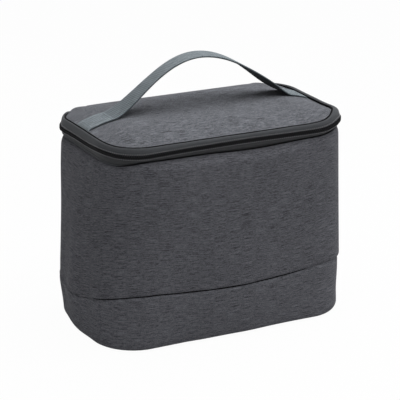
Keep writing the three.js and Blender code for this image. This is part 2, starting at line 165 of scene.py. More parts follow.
class FinishGraph:
    """The node graph of one material or world."""

    def __init__(self, holder: Material | World) -> None:
        """Starts an empty graph in a material or world."""
        holder.use_nodes = True
        self.holder = holder
        self.tree = holder.node_tree
        self.tree.nodes.clear()

    @classmethod
    def material(cls, name: str) -> "FinishGraph":
        """Starts the graph of a new material."""
        return cls(bpy.data.materials.new(name))

    def node(
        self,
        kind: str,
        settings: dict[str, object] | None = None,
        inputs: dict[int | str, SocketValue] | None = None,
        output: int | str = 0,
    ) -> Field:
        """Adds a node.

        Args:
            kind: The type of node.
            settings: The node's own settings, set first.
            inputs: Values or links of its sockets, by number or name.
            output: The socket that is returned.

        Returns:
            The chosen output.
        """
        made = self.tree.nodes.new(kind)
        for name, value in (settings or {}).items():
            setattr(made, name, value)
        for key, value in (inputs or {}).items():
            if isinstance(value, Field):
                self.tree.links.new(value.socket, made.inputs[key])
            else:
                made.inputs[key].default_value = value
        return Field(self, made.outputs[output])

    def cloth(self) -> tuple[Field, Field]:
        """Returns the distances along and across the cloth, in metres, from the piece's UV map."""
        place = self.node("ShaderNodeUVMap", {"uv_map": "UVMap"})
        return self.part(place, 0), self.part(place, 1)

    def part(self, place: Field, axis: int) -> Field:
        """Returns one coordinate of a place."""
        return self.node("ShaderNodeSeparateXYZ", {}, {0: place}, axis)

    def solid(self) -> Field:
        """Returns the place in the object's own frame, in metres."""
        return self.node("ShaderNodeTexCoord", {}, {}, "Object")

    def noise(self, place: Field, scale: float, detail: float = 2.0) -> Field:
        """Smooth noise between 0 and 1 at a place."""
        inputs = {"Vector": place, "Scale": scale, "Detail": detail}
        return self.node("ShaderNodeTexNoise", {}, inputs, "Fac")

    def streaks(self, cloth: tuple[Field, Field], grain: Triple, detail: float = 2.0) -> Field:
        """Smooth noise between 0 and 1, drawn out along the cloth.

        Args:
            cloth: The distances along and across the cloth.
            grain: Length and width of the streaks, and their place in the noise.
            detail: How fine the noise is.

        Returns:
            The noise.
        """
        length, width, seed = grain
        inputs = {0: cloth[0] / length, 1: cloth[1] / width, 2: seed}
        return self.noise(self.node("ShaderNodeCombineXYZ", {}, inputs), 1.0, detail)

    def mix(self, share: Term, first: SocketValue, second: SocketValue) -> Field:
        """Mixes two colours, given as colours of three numbers or as links."""
        colours = [c if isinstance(c, Field) else (*c, 1.0) for c in (first, second)]
        inputs = {0: share, 6: colours[0], 7: colours[1]}
        return self.node("ShaderNodeMix", {"data_type": "RGBA"}, inputs, 2)

    def bump(self, height: Field, distance: float, strength: float = 1.0) -> Field:
        """Turns a height between 0 and 1 into a normal, for a relief of that depth in metres."""
        inputs = {"Height": height, "Distance": distance, "Strength": strength}
        return self.node("ShaderNodeBump", {}, inputs)

    def end(self, surface: Field) -> Material | World:
        """Links the last shader to the graph's output and returns what holds the graph."""
        kind = "World" if isinstance(self.holder, World) else "Material"
        made = self.tree.nodes.new(f"ShaderNodeOutput{kind}")
        self.tree.links.new(surface.socket, made.inputs[0])
        return self.holder


@dataclass(frozen=True)
class Finish:
    """A finish whose colour varies between a dark and a light one."""

    name: str
    dark: Colour
    light: Colour

    def surface(self, graph: FinishGraph) -> Sockets:
        """Adds the finish's nodes to a graph and returns the surface's sockets, with _ for a space."""
        raise NotImplementedError

    def material(self) -> Material:
        """Returns the finish as a material."""
        graph = FinishGraph.material(self.name)
        inputs = {name.replace("_", " "): value for name, value in self.surface(graph).items()}
        return graph.end(graph.node("ShaderNodeBsdfPrincipled", {}, inputs))


@dataclass(frozen=True)
class MelangeCanvas(Finish):
    """Two-tone polyester canvas, whose dark and light yarns show as fine streaks."""

    name: str = "melange_canvas"
    dark: Colour = (0.0518, 0.0522, 0.0590)
    light: Colour = (0.215, 0.217, 0.243)
    yarn: float = 0.55 * MM
    weft: Triple = (14.0 * MM, 0.36 * MM, 0.0)
    short: Triple = (4.0 * MM, 0.4 * MM, 4.9)
    warp: Triple = (0.75 * MM, 0.5 * MM, 7.3)
    cloud: Triple = (45 * MM, 45 * MM, 3.1)
    weights: tuple[float, float, float, float] = (2.4, 1.4, 1.7, 0.2)
    vigour: float = 1.25
    relief: float = 0.12 * MM

    def surface(self, graph: FinishGraph) -> Sockets:
        """The canvas."""
        cloth = graph.cloth()
        weft = graph.streaks(cloth, self.weft, detail=3.0)
        short = graph.streaks(cloth, self.short)
        warp = graph.streaks(cloth, self.warp)
        cloud = graph.streaks(cloth, self.cloud)
        weave = cloth[0].wave(self.yarn) * cloth[1].wave(self.yarn)
        layers = [(layer - 0.5) * weight for layer, weight in zip((weft, short, warp, cloud), self.weights)]
        tone = (sum(layers[1:], layers[0]) * self.vigour + weave * 0.08 + 0.5).limited()
        height = (weave * 0.25 + weft * 0.45 + warp * 0.3 + 0.2).limited()
        return dict(
            Base_Color=graph.mix(tone, self.dark, self.light),
            Roughness=0.97 - 0.12 * tone,
            Normal=graph.bump(height, self.relief, 0.8),
            Sheen_Weight=0.05,
            Sheen_Roughness=0.5,
            Specular_IOR_Level=0.08,
        )


@dataclass(frozen=True)
class WovenTape(Finish):
    """Plain woven tape: fine lengthwise ribs crossed by a tight weave."""

    name: str = "zip_tape_weave"
    dark: Colour = (0.047, 0.050, 0.054)
    light: Colour = (0.106, 0.111, 0.120)
    rib: float = 0.9 * MM
    yarn: float = 0.5 * MM
    fluff: Triple = (4 * MM, 0.8 * MM, 0.0)
    relief: float = 0.10 * MM

    def surface(self, graph: FinishGraph) -> Sockets:
        """The tape."""
        along, across = graph.cloth()
        ribs = across.wave(self.rib)
        weave = along.wave(self.yarn) * across.wave(self.yarn)
        fluff = graph.streaks((along, across), self.fluff, detail=3.0)
        tone = (0.5 + ribs * 0.10 + weave * 0.08 + (fluff - 0.5) * 0.9).limited()
        height = (0.5 + ribs * 0.25 + weave * 0.2).limited()
        return dict(
            Base_Color=graph.mix(tone, self.dark, self.light),
            Roughness=0.62 + 0.2 * fluff,
            Normal=graph.bump(height, self.relief, 0.7),
            Sheen_Weight=0.05,
            Specular_IOR_Level=0.15,
        )


@dataclass(frozen=True)
class RibbedWebbing(Finish):
    """Grey-blue handle webbing: ribs along it and picks across each rib, darker and speckled over the sewn
    ends, with painted shade on its underside and along its legs.
    """

    name: str = "ribbed_webbing"
    dark: Colour = (0.085, 0.102, 0.113)
    light: Colour = (0.355, 0.400, 0.430)
    # Painted shade: the colour that the strap's underside is mixed towards
    shade: Colour = (0.022, 0.025, 0.027)
    rib: float = 2.5 * MM
    pick: float = 2.1 * MM
    fluff: Triple = (7 * MM, 1.6 * MM, 0.0)
    grain: Triple = (1.3 * MM, 0.8 * MM, 5.7)
    sewn: Pair = (23 * MM, 27 * MM)
    # The run along the strap over which the painted shade of the legs gives way to the lit top of the arch
    leg_shade_run: Pair = (55 * MM, 110 * MM)
    # Where the underside starts in the cloth distances; it is painted with shade
    shaded_underside: Pair = (50 * MM, 51 * MM)
    relief: float = 0.16 * MM

    def surface(self, graph: FinishGraph) -> Sockets:
        """The webbing."""
        along, across = graph.cloth()
        crest = across.wave(2 * self.rib).size()
        picks = (along * (TAU / self.pick) + crest * 2.0).sine()
        fluff = graph.streaks((along, across), self.fluff, detail=3.0)
        grain = graph.streaks((along, across), self.grain)
        free = along.between(*self.sewn)
        # Darker and speckled over the sewn ends
        sewn_end_tone = (1 - free) * ((grain - 0.5) * 2.2 - 0.04)
        # Painted shade: the underside is mixed most of the way to the shade colour
        shaded_underside = across.between(*self.shaded_underside)
        # Painted shade: the legs are darker, brightening towards the top of the arch
        wear_and_painted_shade = free * (along.between(*self.leg_shade_run) * 0.28 - 0.25)
        tone = (crest * 0.95 + picks * 0.25 + (fluff - 0.5) * 1.1 - 0.08 + sewn_end_tone + wear_and_painted_shade).limited()
        height = (0.3 + crest * 0.4 + picks * 0.15 + fluff * 0.15).limited()
        return dict(
            Base_Color=graph.mix(shaded_underside * 0.8, graph.mix(tone, self.dark, self.light), self.shade),
            Roughness=0.9 - 0.15 * tone,
            Normal=graph.bump(height, self.relief, 0.8),
            Sheen_Weight=0.05,
            Specular_IOR_Level=0.1,
        )


@dataclass(frozen=True)
class NylonCoil(Finish):
    """Black nylon of the zip's teeth, satin and slightly scuffed."""

    name: str = "nylon_coil"
    dark: Colour = (0.004, 0.004, 0.005)
    light: Colour = (0.014, 0.014, 0.015)
    grain: float = 1400.0
    relief: float = 0.03 * MM

    def surface(self, graph: FinishGraph) -> Sockets:
        """The nylon."""
        scuff = graph.noise(graph.solid(), self.grain, 3.0)
        return dict(
            Base_Color=graph.mix(scuff, self.dark, self.light),
            Roughness=0.45 + 0.25 * scuff,
            Normal=graph.bump(scuff, self.relief, 0.5),
            Specular_IOR_Level=0.1,
        )


@dataclass(frozen=True)
class SewingThread(Finish):
    """Twisted sewing thread."""

    twist: float = 0.5 * MM
    gloss: float = 0.4
    lint: float = 900.0
    relief: float = 0.08 * MM

    def surface(self, graph: FinishGraph) -> Sockets:
        """The thread."""
        place = graph.solid()
        x, y, z = (graph.part(place, axis) for axis in range(3))
        ply = (x + y + z).wave(self.twist)
        lint = graph.noise(place, self.lint)
        tone = (0.5 + ply * 0.3 + (lint - 0.5) * 0.5).limited()
        return dict(
            Base_Color=graph.mix(tone, self.dark, self.light),
            Roughness=0.75 + 0.2 * lint,
            Normal=graph.bump((ply * 0.5 + 0.5).limited(), self.relief, 0.6),
            Sheen_Weight=0.2 * self.gloss,
            Specular_IOR_Level=self.gloss,
        )


@dataclass(frozen=True)
class LinerFilm(Finish):
    """Wipe-clean silver-grey lining film, embossed with a fine diamond grid."""

    name: str = "liner_film"
    dark: Colour = (0.44, 0.45, 0.46)
    light: Colour = (0.60, 0.61, 0.62)
    diamond: float = 3.2 * MM
    haze: Triple = (22 * MM, 22 * MM, 0.0)
    relief: float = 0.10 * MM

    def surface(self, graph: FinishGraph) -> Sockets:
        """The film."""
        along, across = graph.cloth()
        rising = (along + across).wave(2 * self.diamond).size()
        falling = (along - across).wave(2 * self.diamond).size()
        haze = graph.streaks((along, across), self.haze, detail=4.0)
        height = (rising * falling).limited()
        tone = (haze * 0.8 + height * 0.25).limited()
        return dict(
            Base_Color=graph.mix(tone, self.dark, self.light),
            Roughness=0.30 + 0.22 * haze,
            Metallic=0.35,
            Normal=graph.bump(height, self.relief, 0.6),
        )


@dataclass(frozen=True)
class FoamSheet(Finish):
    """Closed-cell foam of the padding."""

    name: str = "foam_sheet"
    dark: Colour = (0.62, 0.62, 0.60)
    light: Colour = (0.82, 0.82, 0.80)
    cells: float = 700.0
    haze: float = 40.0
    relief: float = 0.2 * MM

    def surface(self, graph: FinishGraph) -> Sockets:
        """The foam."""
        place = graph.solid()
        cell = graph.node("ShaderNodeTexVoronoi", {}, {"Vector": place, "Scale": self.cells}, "Distance")
        haze = graph.noise(place, self.haze)
        return dict(
            Base_Color=graph.mix((cell * 0.8 + haze * 0.3).limited(), self.dark, self.light),
            Roughness=0.85 + 0.1 * haze,
            Normal=graph.bump(cell.limited(), self.relief, 0.6),
        )


@dataclass(frozen=True)
class StiffenerSheet(Finish):
    """Dark moulded sheet that stiffens the base."""

    name: str = "stiffener_sheet"
    dark: Colour = (0.020, 0.021, 0.022)
    light: Colour = (0.045, 0.046, 0.048)
    grain: float = 500.0
    relief: float = 0.05 * MM

    def surface(self, graph: FinishGraph) -> Sockets:
        """The sheet."""
        grain = graph.noise(graph.solid(), self.grain, 4.0)
        return dict(
            Base_Color=graph.mix(grain, self.dark, self.light),
            Roughness=0.5 + 0.2 * grain,
            Normal=graph.bump(grain, self.relief, 0.5),
        )


@dataclass(frozen=True)
class EnamelledZinc(Finish):
    """Dark enamel of the slider and its pull, worn a little brighter in places."""

    name: str = "enamelled_zinc"
    dark: Colour = (0.022, 0.023, 0.026)
    light: Colour = (0.16, 0.16, 0.17)
    # Scale of the patches where the enamel is rubbed and worn
    wear_and_painted_shade: float = 260.0
    grain: float = 2500.0
    relief: float = 0.02 * MM

    def surface(self, graph: FinishGraph) -> Sockets:
        """The enamel."""
        place = graph.solid()
        rubbed = ((graph.noise(place, self.wear_and_painted_shade, 4.0) - 0.52) * 6.0).limited()
        grain = graph.noise(place, self.grain)
        return dict(
            Base_Color=graph.mix(rubbed * 0.5, self.dark, self.light),
            Roughness=0.32 + 0.2 * grain,
            Metallic=0.55 + 0.3 * rubbed,
            Normal=graph.bump(grain, self.relief, 0.4),
        )


@dataclass(frozen=True)
class Spot:
    """A place on the outline: a point of the inner rectangle, the way out of it, and how far it bows."""

    x: float
    y: float
    out_x: float
    out_y: float
    bow: float


@dataclass(frozen=True)
class BagForm:
    """The bag's sizes, and the place of any point of its walls and lid."""

    lid_width: float = 255 * MM
    lid_depth: float = 147 * MM
    corner_radius: float = 40 * MM
    rim_height: float = 201.5 * MM
    seam_inset: float = 4.5 * MM
    seam_dip: float = 2 * MM
    lid_crown: float = 8.5 * MM
    crown_run: float = 40 * MM
    mouth_pinch: float = 1 * MM
    base_flare: float = 3.5 * MM
    front_bow: float = 6 * MM
    side_bow: float = 6 * MM
    back_bow: float = 3 * MM
    belly_lift: float = 0.65
    band_height: float = 55 * MM
    band_tuck: float = 4 * MM
    base_roll: float = 8 * MM
    mouth_lip: float = 3 * MM
    fabric: float = 1.2 * MM
    foam: float = 5 * MM
    liner: float = 0.8 * MM
    tape: float = 0.8 * MM
    binding: float = 0.8 * MM
    fit_gap: float = 0.3 * MM
    zip_drop: float = 8 * MM
    tape_setback: float = 0.4 * MM
    tape_step: float = 1.7 * MM
    slider_width: float = 9.6 * MM
    front_droop: float = 1.9 * MM
    corner_lift: float = 5.2 * MM
    corner_lift_reach: float = 20 * MM
    rear_dip: float = 1.4 * MM
    rear_dip_reach: float = 26 * MM
    droop_level: float = 130 * MM
    droop_reach: float = 0.75
    lean: float = 1.9 * MM
    slump: float = 4.6 * MM
    slump_y: Pair = (-25 * MM, 52 * MM)
    slump_level: float = 75 * MM
    shoulder: Waves = ((160 * MM, 30 * MM, 0.9 * MM),)
    right_seam: float = 3.4 * MM
    right_seam_run: Pair = (9 * MM, 25 * MM)
    rear_tuck: float = 4.4 * MM
    rear_tuck_y: Pair = (62 * MM, 21 * MM)
    rear_tuck_level: float = 42 * MM
    tuck_reach: float = 0.6
    tuck_turn: float = 0.5
    sag_start: float = 45 * MM
    chain_sag: float = 2.5 * MM
    chain_run: Pair = (105 * MM, 155 * MM)
    chain_waves: Waves = ((178 * MM, 28 * MM, 0.9 * MM), (285 * MM, 60 * MM, -0.9 * MM))
    mouth_sag: float = 5.0 * MM
    mouth_run: Pair = (150 * MM, 192 * MM)
    mouth_waves: Waves = ((297 * MM, 45 * MM, 2.4 * MM), (215 * MM, 30 * MM, 0.7 * MM))
    hem_drop: float = 14 * MM
    hem_run: Pair = (97 * MM, 177 * MM)
    hem_waves: Waves = (
        (185 * MM, 25 * MM, -1.8 * MM),
        (280 * MM, 45 * MM, 1.4 * MM),
        (376 * MM, 18 * MM, -2.6 * MM),
    )

    @property
    def core_x(self) -> float:
        """Half the width between the middles of the corners."""
        return self.lid_width / 2 - self.corner_radius

    @property
    def core_y(self) -> float:
        """Half the depth between the middles of the corners."""
        return self.lid_depth / 2 - self.corner_radius

    @property
    def zip_level(self) -> float:
        """Height of the middle of the zip chain."""
        return self.rim_height - self.zip_drop

    @property
    def track_low(self) -> float:
        """Lowest level of the slider."""
        return self.zip_level - self.slider_width / 2

    @property
    def mouth_level(self) -> float:
        """Top of the wall, where it meets the lower zip tape."""
        return self.track_low - self.tape_step

    @property
    def padding_top(self) -> float:
        """Top of the wall's foam and lining."""
        return self.mouth_level - self.mouth_lip - self.binding - self.fit_gap

    @property
    def roll_level(self) -> float:
        """Level at which the band starts to roll under the base."""
        return self.base_roll + self.fit_gap

    @property
    def band_inset(self) -> float:
        """How far the band lies inside the wall."""
        return self.fabric + self.fit_gap

    @property
    def foam_inset(self) -> float:
        """Outer face of the foam."""
        return self.band_inset + self.fabric + self.fit_gap

    @property
    def liner_inset(self) -> float:
        """Outer face of the lining."""
        return self.foam_inset + self.foam + self.fit_gap

    @property
    def roll_inset(self) -> float:
        """Where the rolled lower edge ends under the base."""
        return self.band_inset + self.base_roll

    @property
    def wrap_length(self) -> float:
        """Length of the outline round the left, front and right sides."""
        return 4 * QUARTER * self.corner_radius + 4 * self.core_y + 2 * self.core_x

    @property
    def round_length(self) -> float:
        """Length of the whole outline."""
        return self.wrap_length + 2 * self.core_x

    def growth(self, level: float) -> float:
        """How far the wall stands outside the lid's rim at a level."""
        if level >= self.mouth_level:
            up_the_step = min(1.0, (level - self.mouth_level) / self.tape_step)
            return -self.mouth_pinch * (1 - up_the_step)
        down_the_wall = min(1.0, (self.mouth_level - level) / (self.mouth_level - self.band_height))
        return -self.mouth_pinch + (self.mouth_pinch + self.base_flare) * down_the_wall

    def belly(self, level: float) -> float:
        """The share of a side's bow at a level."""
        height = min(1.0, max(self.roll_level, level) / self.mouth_level)
        return math.sin(math.pi * height**self.belly_lift)

    def spot(self, distance: float) -> Spot:
        """Finds a place on the outline.

        Args:
            distance: How far along the outline it is, from the back left corner round the front.

        Returns:
            The place.
        """
        turn = self.corner_radius * QUARTER
        signs = ((-1, 1), (-1, -1), (1, -1), (1, 1), (-1, 1))
        corners = [Vector((x * self.core_x, y * self.core_y)) for x, y in signs]
        spans = (2 * self.core_y, 2 * self.core_x, 2 * self.core_y, 2 * self.core_x)
        bows = (self.side_bow, self.front_bow, self.side_bow, self.back_bow)
        left = min(distance, self.round_length)
        for k, (span, bow) in enumerate(zip(spans, bows)):
            here, there = corners[k], corners[k + 1]
            angle = QUARTER * (k + 1)
            if left <= turn:
                angle += left / self.corner_radius
                return Spot(here.x, here.y, math.cos(angle), math.sin(angle), 0.0)
            left -= turn
            angle += QUARTER
            if left <= span or k == len(spans) - 1:
                share = min(1.0, left / span)
                point = here.lerp(there, share)
                across = 2 * share - 1
                return Spot(point.x, point.y, math.cos(angle), math.sin(angle), bow * (1 - across**2) ** 2)
            left -= span
        raise ValueError("the outline has no such place")

    def wall_point(self, spot: Spot, inset: float, level: float) -> Vector:
        """The point at a place of the outline, some way in from the outer surface, at a level."""
        reach = self.corner_radius + self.growth(level) + spot.bow * self.belly(level) - inset
        reach += self.slumped(spot, level)
        x = spot.x + spot.out_x * reach
        y = spot.y + spot.out_y * reach
        return Vector((x + self.leaning(level), y, level + self.droop(x, y, level)))

    def leaning(self, level: float) -> float:
        """How far the soft body leans to the right at a level below the mouth."""
        return self.lean * max(0.0, 1 - level / self.mouth_level)

    def slumped(self, spot: Spot, level: float) -> float:
        """How far the left side bulges out, and its rear corner is tucked in above the floor."""
        if spot.out_x >= 0:
            return 0.0
        y = spot.y + spot.out_y * self.corner_radius
        bulge = humps(y, ((*self.slump_y, self.slump),)) * ease(1 - level / self.slump_level)
        return -spot.out_x * (bulge - self.tucked(y, level) + humps(level, self.shoulder))

    def tucked(self, y: float, level: float) -> float:
        """How far the rear left corner is tucked in above the floor."""
        return humps(y, ((*self.rear_tuck_y, self.rear_tuck),)) * ease(1 - level / self.rear_tuck_level)

    def flat_point(self, x: float, y: float, level: float) -> Vector:
        """A point of a flat piece inside the bag, moved along with the soft walls about it."""
        tuck = self.tucked(y, level) * ease((-x - self.core_x) / (self.tuck_reach * self.corner_radius))
        return Vector((x + tuck + self.leaning(level), y - self.tuck_turn * tuck, level))

    def seam_shift(self, x: float) -> float:
        """How much further in the lid's seam lies along the right side, where the roll is fuller."""
        start, run = self.right_seam_run
        return self.right_seam * ease((x - self.core_x - start) / run)

    def droop(self, x: float, y: float, level: float) -> float:
        """How far the soft rim stands above its level: it sags in front, and two corners are pulled."""
        slack = ease((level - self.droop_level) / (self.mouth_level - self.droop_level))
        sag = self.front_droop * ease((-y - self.core_y) / (self.droop_reach * self.corner_radius))
        corner = Vector((self.core_x, -self.core_y)) + Vector((1, -1)) * self.corner_radius * math.sqrt(0.5)
        from_front = (Vector((x, y)) - corner).length / self.corner_lift_reach
        from_rear = (Vector((x, y)) + corner).length / self.rear_dip_reach
        stretch = 0.5 + 0.5 * ease((level - self.mouth_level) / (self.rim_height - self.mouth_level))
        lift = self.corner_lift * stretch * math.exp(-(from_front**2))
        dip = self.rear_dip * math.exp(-(from_rear**2))
        return slack * (lift - dip - sag)

    def sagging(self, distance: float, depth: float, run: Pair, waves: Waves) -> float:
        """How far a seam hangs below its level, along the left up to a run's end and in its waves."""
        left = ease(distance / self.sag_start) * (1 - ramp(distance, run))
        return depth * left + humps(distance, waves)

    def chain_level(self, distance: float) -> float:
        """Level of the middle of the zip chain at a distance."""
        return self.zip_level - self.sagging(distance, self.chain_sag, self.chain_run, self.chain_waves)

    def mouth(self, distance: float) -> float:
        """Level of the wall's upper edge at a distance."""
        return self.mouth_level - self.sagging(distance, self.mouth_sag, self.mouth_run, self.mouth_waves)

    def hem(self, distance: float) -> float:
        """Level of the wall's lower edge at a distance."""
        return self.band_height - self.sagging(distance, self.hem_drop, self.hem_run, self.hem_waves)

    def stations(self, step: float, start: float = 0.0, end: float | None = None) -> list[float]:
        """Distances along the outline, at most a step apart, up to an end or to the wrap's own."""
        last = self.wrap_length if end is None else end
        return spread(start, last, math.ceil((last - start) / step))

    def round_stations(self, step: float) -> list[float]:
        """Distances along the whole outline, at most a step apart."""
        return self.stations(step, 0.0, self.round_length)

    def lid_inset(self, x: float, y: float) -> float:
        """How far a point of the lid lies inside the rim."""
        past_x = abs(x) - self.core_x
        past_y = abs(y) - self.core_y
        beyond = math.hypot(max(past_x, 0.0), max(past_y, 0.0)) + min(max(past_x, past_y), 0.0)
        return self.corner_radius - beyond

    def lid_top(self, inset: float) -> float:
        """Top of the lid's fabric at an inset from the rim."""
        edge = self.seam_inset + self.fit_gap
        share = min(1.0, max(0.0, (inset - edge) / self.crown_run))
        return self.rim_height - self.seam_dip + self.lid_crown * (1 - (1 - share) ** 2)


def spread(first: float, last: float, steps: int) -> list[float]:
    """Values spread evenly from one to another."""
    return [first + (last - first) * i / steps for i in range(steps + 1)]


def ease(share: float) -> float:
    """A smooth step from 0 to 1."""
    held = min(1.0, max(0.0, share))
    return held * held * (3 - 2 * held)


def ramp(value: float, run: Pair) -> float:
    """A smooth step from 0 to 1 between two values."""
    start, end = run
    return ease((value - start) / (end - start))


def humps(place: float, waves: Waves) -> float:
    """The height of some round waves at a place, each given by its middle, its reach and its height."""
    return sum(height * math.exp(-(((place - middle) / reach) ** 2)) for middle, reach, height in waves)


def running(points: Sequence[Sequence[float]]) -> list[float]:
    """The distance along a line at each of its points."""
    lengths = [0.0]
    for before, after in zip(points, points[1:]):
        lengths.append(lengths[-1] + math.dist(before, after))
    return lengths


def bezier(start: tuple, middle: tuple, end: tuple, steps: int) -> Profile:
    """Points of a curve that leaves its start towards the middle and reaches its end from there."""
    points = []
    for t in spread(0.0, 1.0, steps):
        weights = ((1 - t) ** 2, 2 * t * (1 - t), t * t)
        points.append(tuple(sum(w * p[k] for w, p in zip(weights, (start, middle, end))) for k in range(2)))
    return points


def framed(ways: Sequence[Vector], place: Vector) -> Matrix:
    """The frame at a place whose axes point three ways."""
    made = Matrix(ways).transposed().to_4x4()
    made.translation = place
    return made


class Workbench:
    """Modelling moves that the pieces share."""

    @staticmethod
    def take(piece: Piece) -> None:
        """Selects one object alone and makes it the active one."""
        bpy.ops.object.select_all(action="DESELECT")
        piece.select_set(True)
        bpy.context.view_layer.objects.active = piece

    @classmethod
    @contextmanager
    def editing(cls, piece: Piece) -> Iterator[None]:
        """Edit mode on one object, with everything in it selected."""
        cls.take(piece)
        bpy.ops.object.mode_set(mode="EDIT")
        bpy.ops.mesh.select_all(action="SELECT")
        try:
            yield
        finally:
            bpy.ops.object.mode_set(mode="OBJECT")

    @staticmethod
    def added(name: str, add: Callable[..., object], **settings: object) -> Piece:
        """Adds a primitive and names it."""
        bpy.ops.object.select_all(action="DESELECT")
        add(**settings)
        piece = bpy.context.object
        piece.name = name
        piece.data.name = name
        return piece

    @classmethod
    @contextmanager
    def picking(cls, piece: Piece, kind: str, picked: list[bool]) -> Iterator[None]:
        """Edit mode on one object, with some of its edges or faces selected.

        Args:
            piece: The object.
            kind: The select mode, EDGE or FACE.
            picked: Which edges or faces are selected.

        Yields:
            Nothing.
        """
        with cls.editing(piece):
            bpy.ops.mesh.select_mode(type=kind)
            bpy.ops.mesh.select_all(action="DESELECT")
        parts = piece.data.edges if kind == "EDGE" else piece.data.polygons
        parts.foreach_set("select", picked)
        cls.take(piece)
        bpy.ops.object.mode_set(mode="EDIT")
        try:
            yield
        finally:
            bpy.ops.object.mode_set(mode="OBJECT")

    @classmethod
    def laid_grid(
        cls,
        name: str,
        columns: int,
        rows: int,
        place: Callable[[int, int], Laid],
        closed: bool = False,
    ) -> Piece:
        """Adds a grid and lays its points on a shape.

        Args:
            name: Name of the piece.
            columns: Steps along the cloth.
            rows: Steps across it.
            place: Gives the point and its distances along and across the cloth at a column and row.
            closed: Whether the last column is sewn to the first.

        Returns:
            The piece.
        """
        grid = {"x_subdivisions": columns, "y_subdivisions": rows, "size": 1.0}
        piece = cls.added(name, bpy.ops.mesh.primitive_grid_add, **grid)
        laid = [place(i, j) for j in range(rows + 1) for i in range(columns + 1)]
        mesh = piece.data
        mesh.vertices.foreach_set("co", np.array([point for point, _ in laid], np.float32).ravel())
        cloth = np.array([distances for _, distances in laid], np.float32)
        corners = np.zeros(len(mesh.loops), np.int32)
        mesh.loops.foreach_get("vertex_index", corners)
        mesh.uv_layers["UVMap"].data.foreach_set("uv", cloth[corners].ravel())
        mesh.update()
        if closed:
            with cls.editing(piece):
                bpy.ops.mesh.remove_doubles(threshold=1e-6)
        return piece

    @classmethod
    def sheet(
        cls,
        name: str,
        form: BagForm,
        stations: list[float],
        profile: Profile | ProfileAt,
        closed: bool = False,
    ) -> Piece:
        """A sheet that follows the bag's outline.

        Args:
            name: Name of the piece.
            form: The bag's form.
            stations: Distances along the outline.
            profile: Inset and level of each row, from the lower edge, or a rule for them at a distance.
            closed: Whether the sheet goes all the way round.

        Returns:
            The piece.
        """
        spots = [form.spot(distance) for distance in stations]
        profiles = [profile(distance) if callable(profile) else profile for distance in stations]
        heights = [running(rows) for rows in profiles]

        def place(i: int, j: int) -> Laid:
            """A point of the sheet and its distances along the cloth."""
            return form.wall_point(spots[i], *profiles[i][j]), (stations[i], heights[i][j])

        return cls.laid_grid(name, len(stations) - 1, len(profiles[0]) - 1, place, closed)

    @classmethod
    def plate(
        cls,
        name: str,
        form: BagForm,
        box: tuple[Vector, Vector],
        step: float,
        radius: float,
        level: Callable[[float, float], float],
        mirrored: bool = False,
    ) -> Piece:
        """A flat or crowned sheet with round corners, inside the bag.

        Args:
            name: Name of the piece.
            form: The bag's form.
            box: Its lowest and highest corners.
            step: The widest spacing of its points.
            radius: Radius of its corners.
            level: Gives its level at a point of the plan.
            mirrored: Whether it faces down.

        Returns:
            The piece.
        """
        low, high = box
        columns = math.ceil((high.x - low.x) / step)
        rows = math.ceil((high.y - low.y) / step)

        def place(i: int, j: int) -> Laid:
            """A point of the sheet and its distances along the cloth."""
            across = 1 - i / columns if mirrored else i / columns
            x, y = rounded(across, j / rows, low, high, radius)
            return form.flat_point(x, y, level(x, y)), (x, y)

        return cls.laid_grid(name, columns, rows, place)

    @classmethod
    def modify(cls, piece: Piece, kind: str, **settings: object) -> None:
        """Adds a modifier, sets it and applies it."""
        cls.take(piece)
        modifier = piece.modifiers.new(kind.title(), kind)
        for name, value in settings.items():
            setattr(modifier, name, value)
        bpy.ops.object.modifier_apply(modifier=modifier.name)

    @classmethod
    def soften(cls, piece: Piece, width: float, segments: int, degrees: float) -> None:
        """Rounds the edges of a piece that are sharper than an angle."""
        sharp = {"limit_method": "ANGLE", "angle_limit": math.radians(degrees)}
        cls.modify(piece, "BEVEL", width=width, segments=segments, **sharp)

    @classmethod
    def thicken(cls, piece: Piece, thickness: float, rounding: float = 0.3 * MM) -> None:
        """Gives a sheet its thickness, inwards, rounds its cut edges and shades it smooth."""
        cls.modify(piece, "SOLIDIFY", thickness=thickness, offset=-1.0, use_even_offset=True)
        cls.soften(piece, rounding, segments=2, degrees=60.0)
        cls.smooth(piece)

    @classmethod
    def smooth(cls, piece: Piece, degrees: float = 50.0) -> None:
        """Shades a piece smooth, apart from edges sharper than an angle."""
        cls.take(piece)
        bpy.ops.object.shade_smooth_by_angle(angle=math.radians(degrees))

    @staticmethod
    def points(piece: Piece) -> np.ndarray:
        """A mesh's points, one to a row."""
        flat = np.zeros(len(piece.data.vertices) * 3, np.float32)
        piece.data.vertices.foreach_get("co", flat)
        return flat.reshape(-1, 3).astype(float)

    @staticmethod
    def set_points(piece: Piece, points: np.ndarray) -> None:
        """Moves a mesh's points."""
        piece.data.vertices.foreach_set("co", points.astype(np.float32).ravel())
        piece.data.update()

    @classmethod
    def scatter(cls, name: str, master: Piece, frames: Sequence[Matrix]) -> Piece:
        """Copies one small shape to many places, as one mesh.

        Args:
            name: Name of the piece.
            master: The shape, which is removed afterwards.
            frames: Where each copy goes.

        Returns:
            The piece.
        """
        shape = cls.points(master)
        faces = [tuple(face.vertices) for face in master.data.polygons]
        points = []
        copies = []
        for k, place in enumerate(frames):
            turn = np.array(place.to_3x3())
            points.append(shape @ turn.T + np.array(place.translation))
            copies.extend(tuple(k * len(shape) + corner for corner in face) for face in faces)
        mesh = bpy.data.meshes.new(name)
        mesh.from_pydata(np.concatenate(points).tolist(), [], copies)
        mesh.polygons.foreach_set("use_smooth", np.ones(len(copies), bool))
        mesh.update()
        piece = bpy.data.objects.new(name, mesh)
        bpy.context.scene.collection.objects.link(piece)
        bpy.data.objects.remove(master)
        return piece

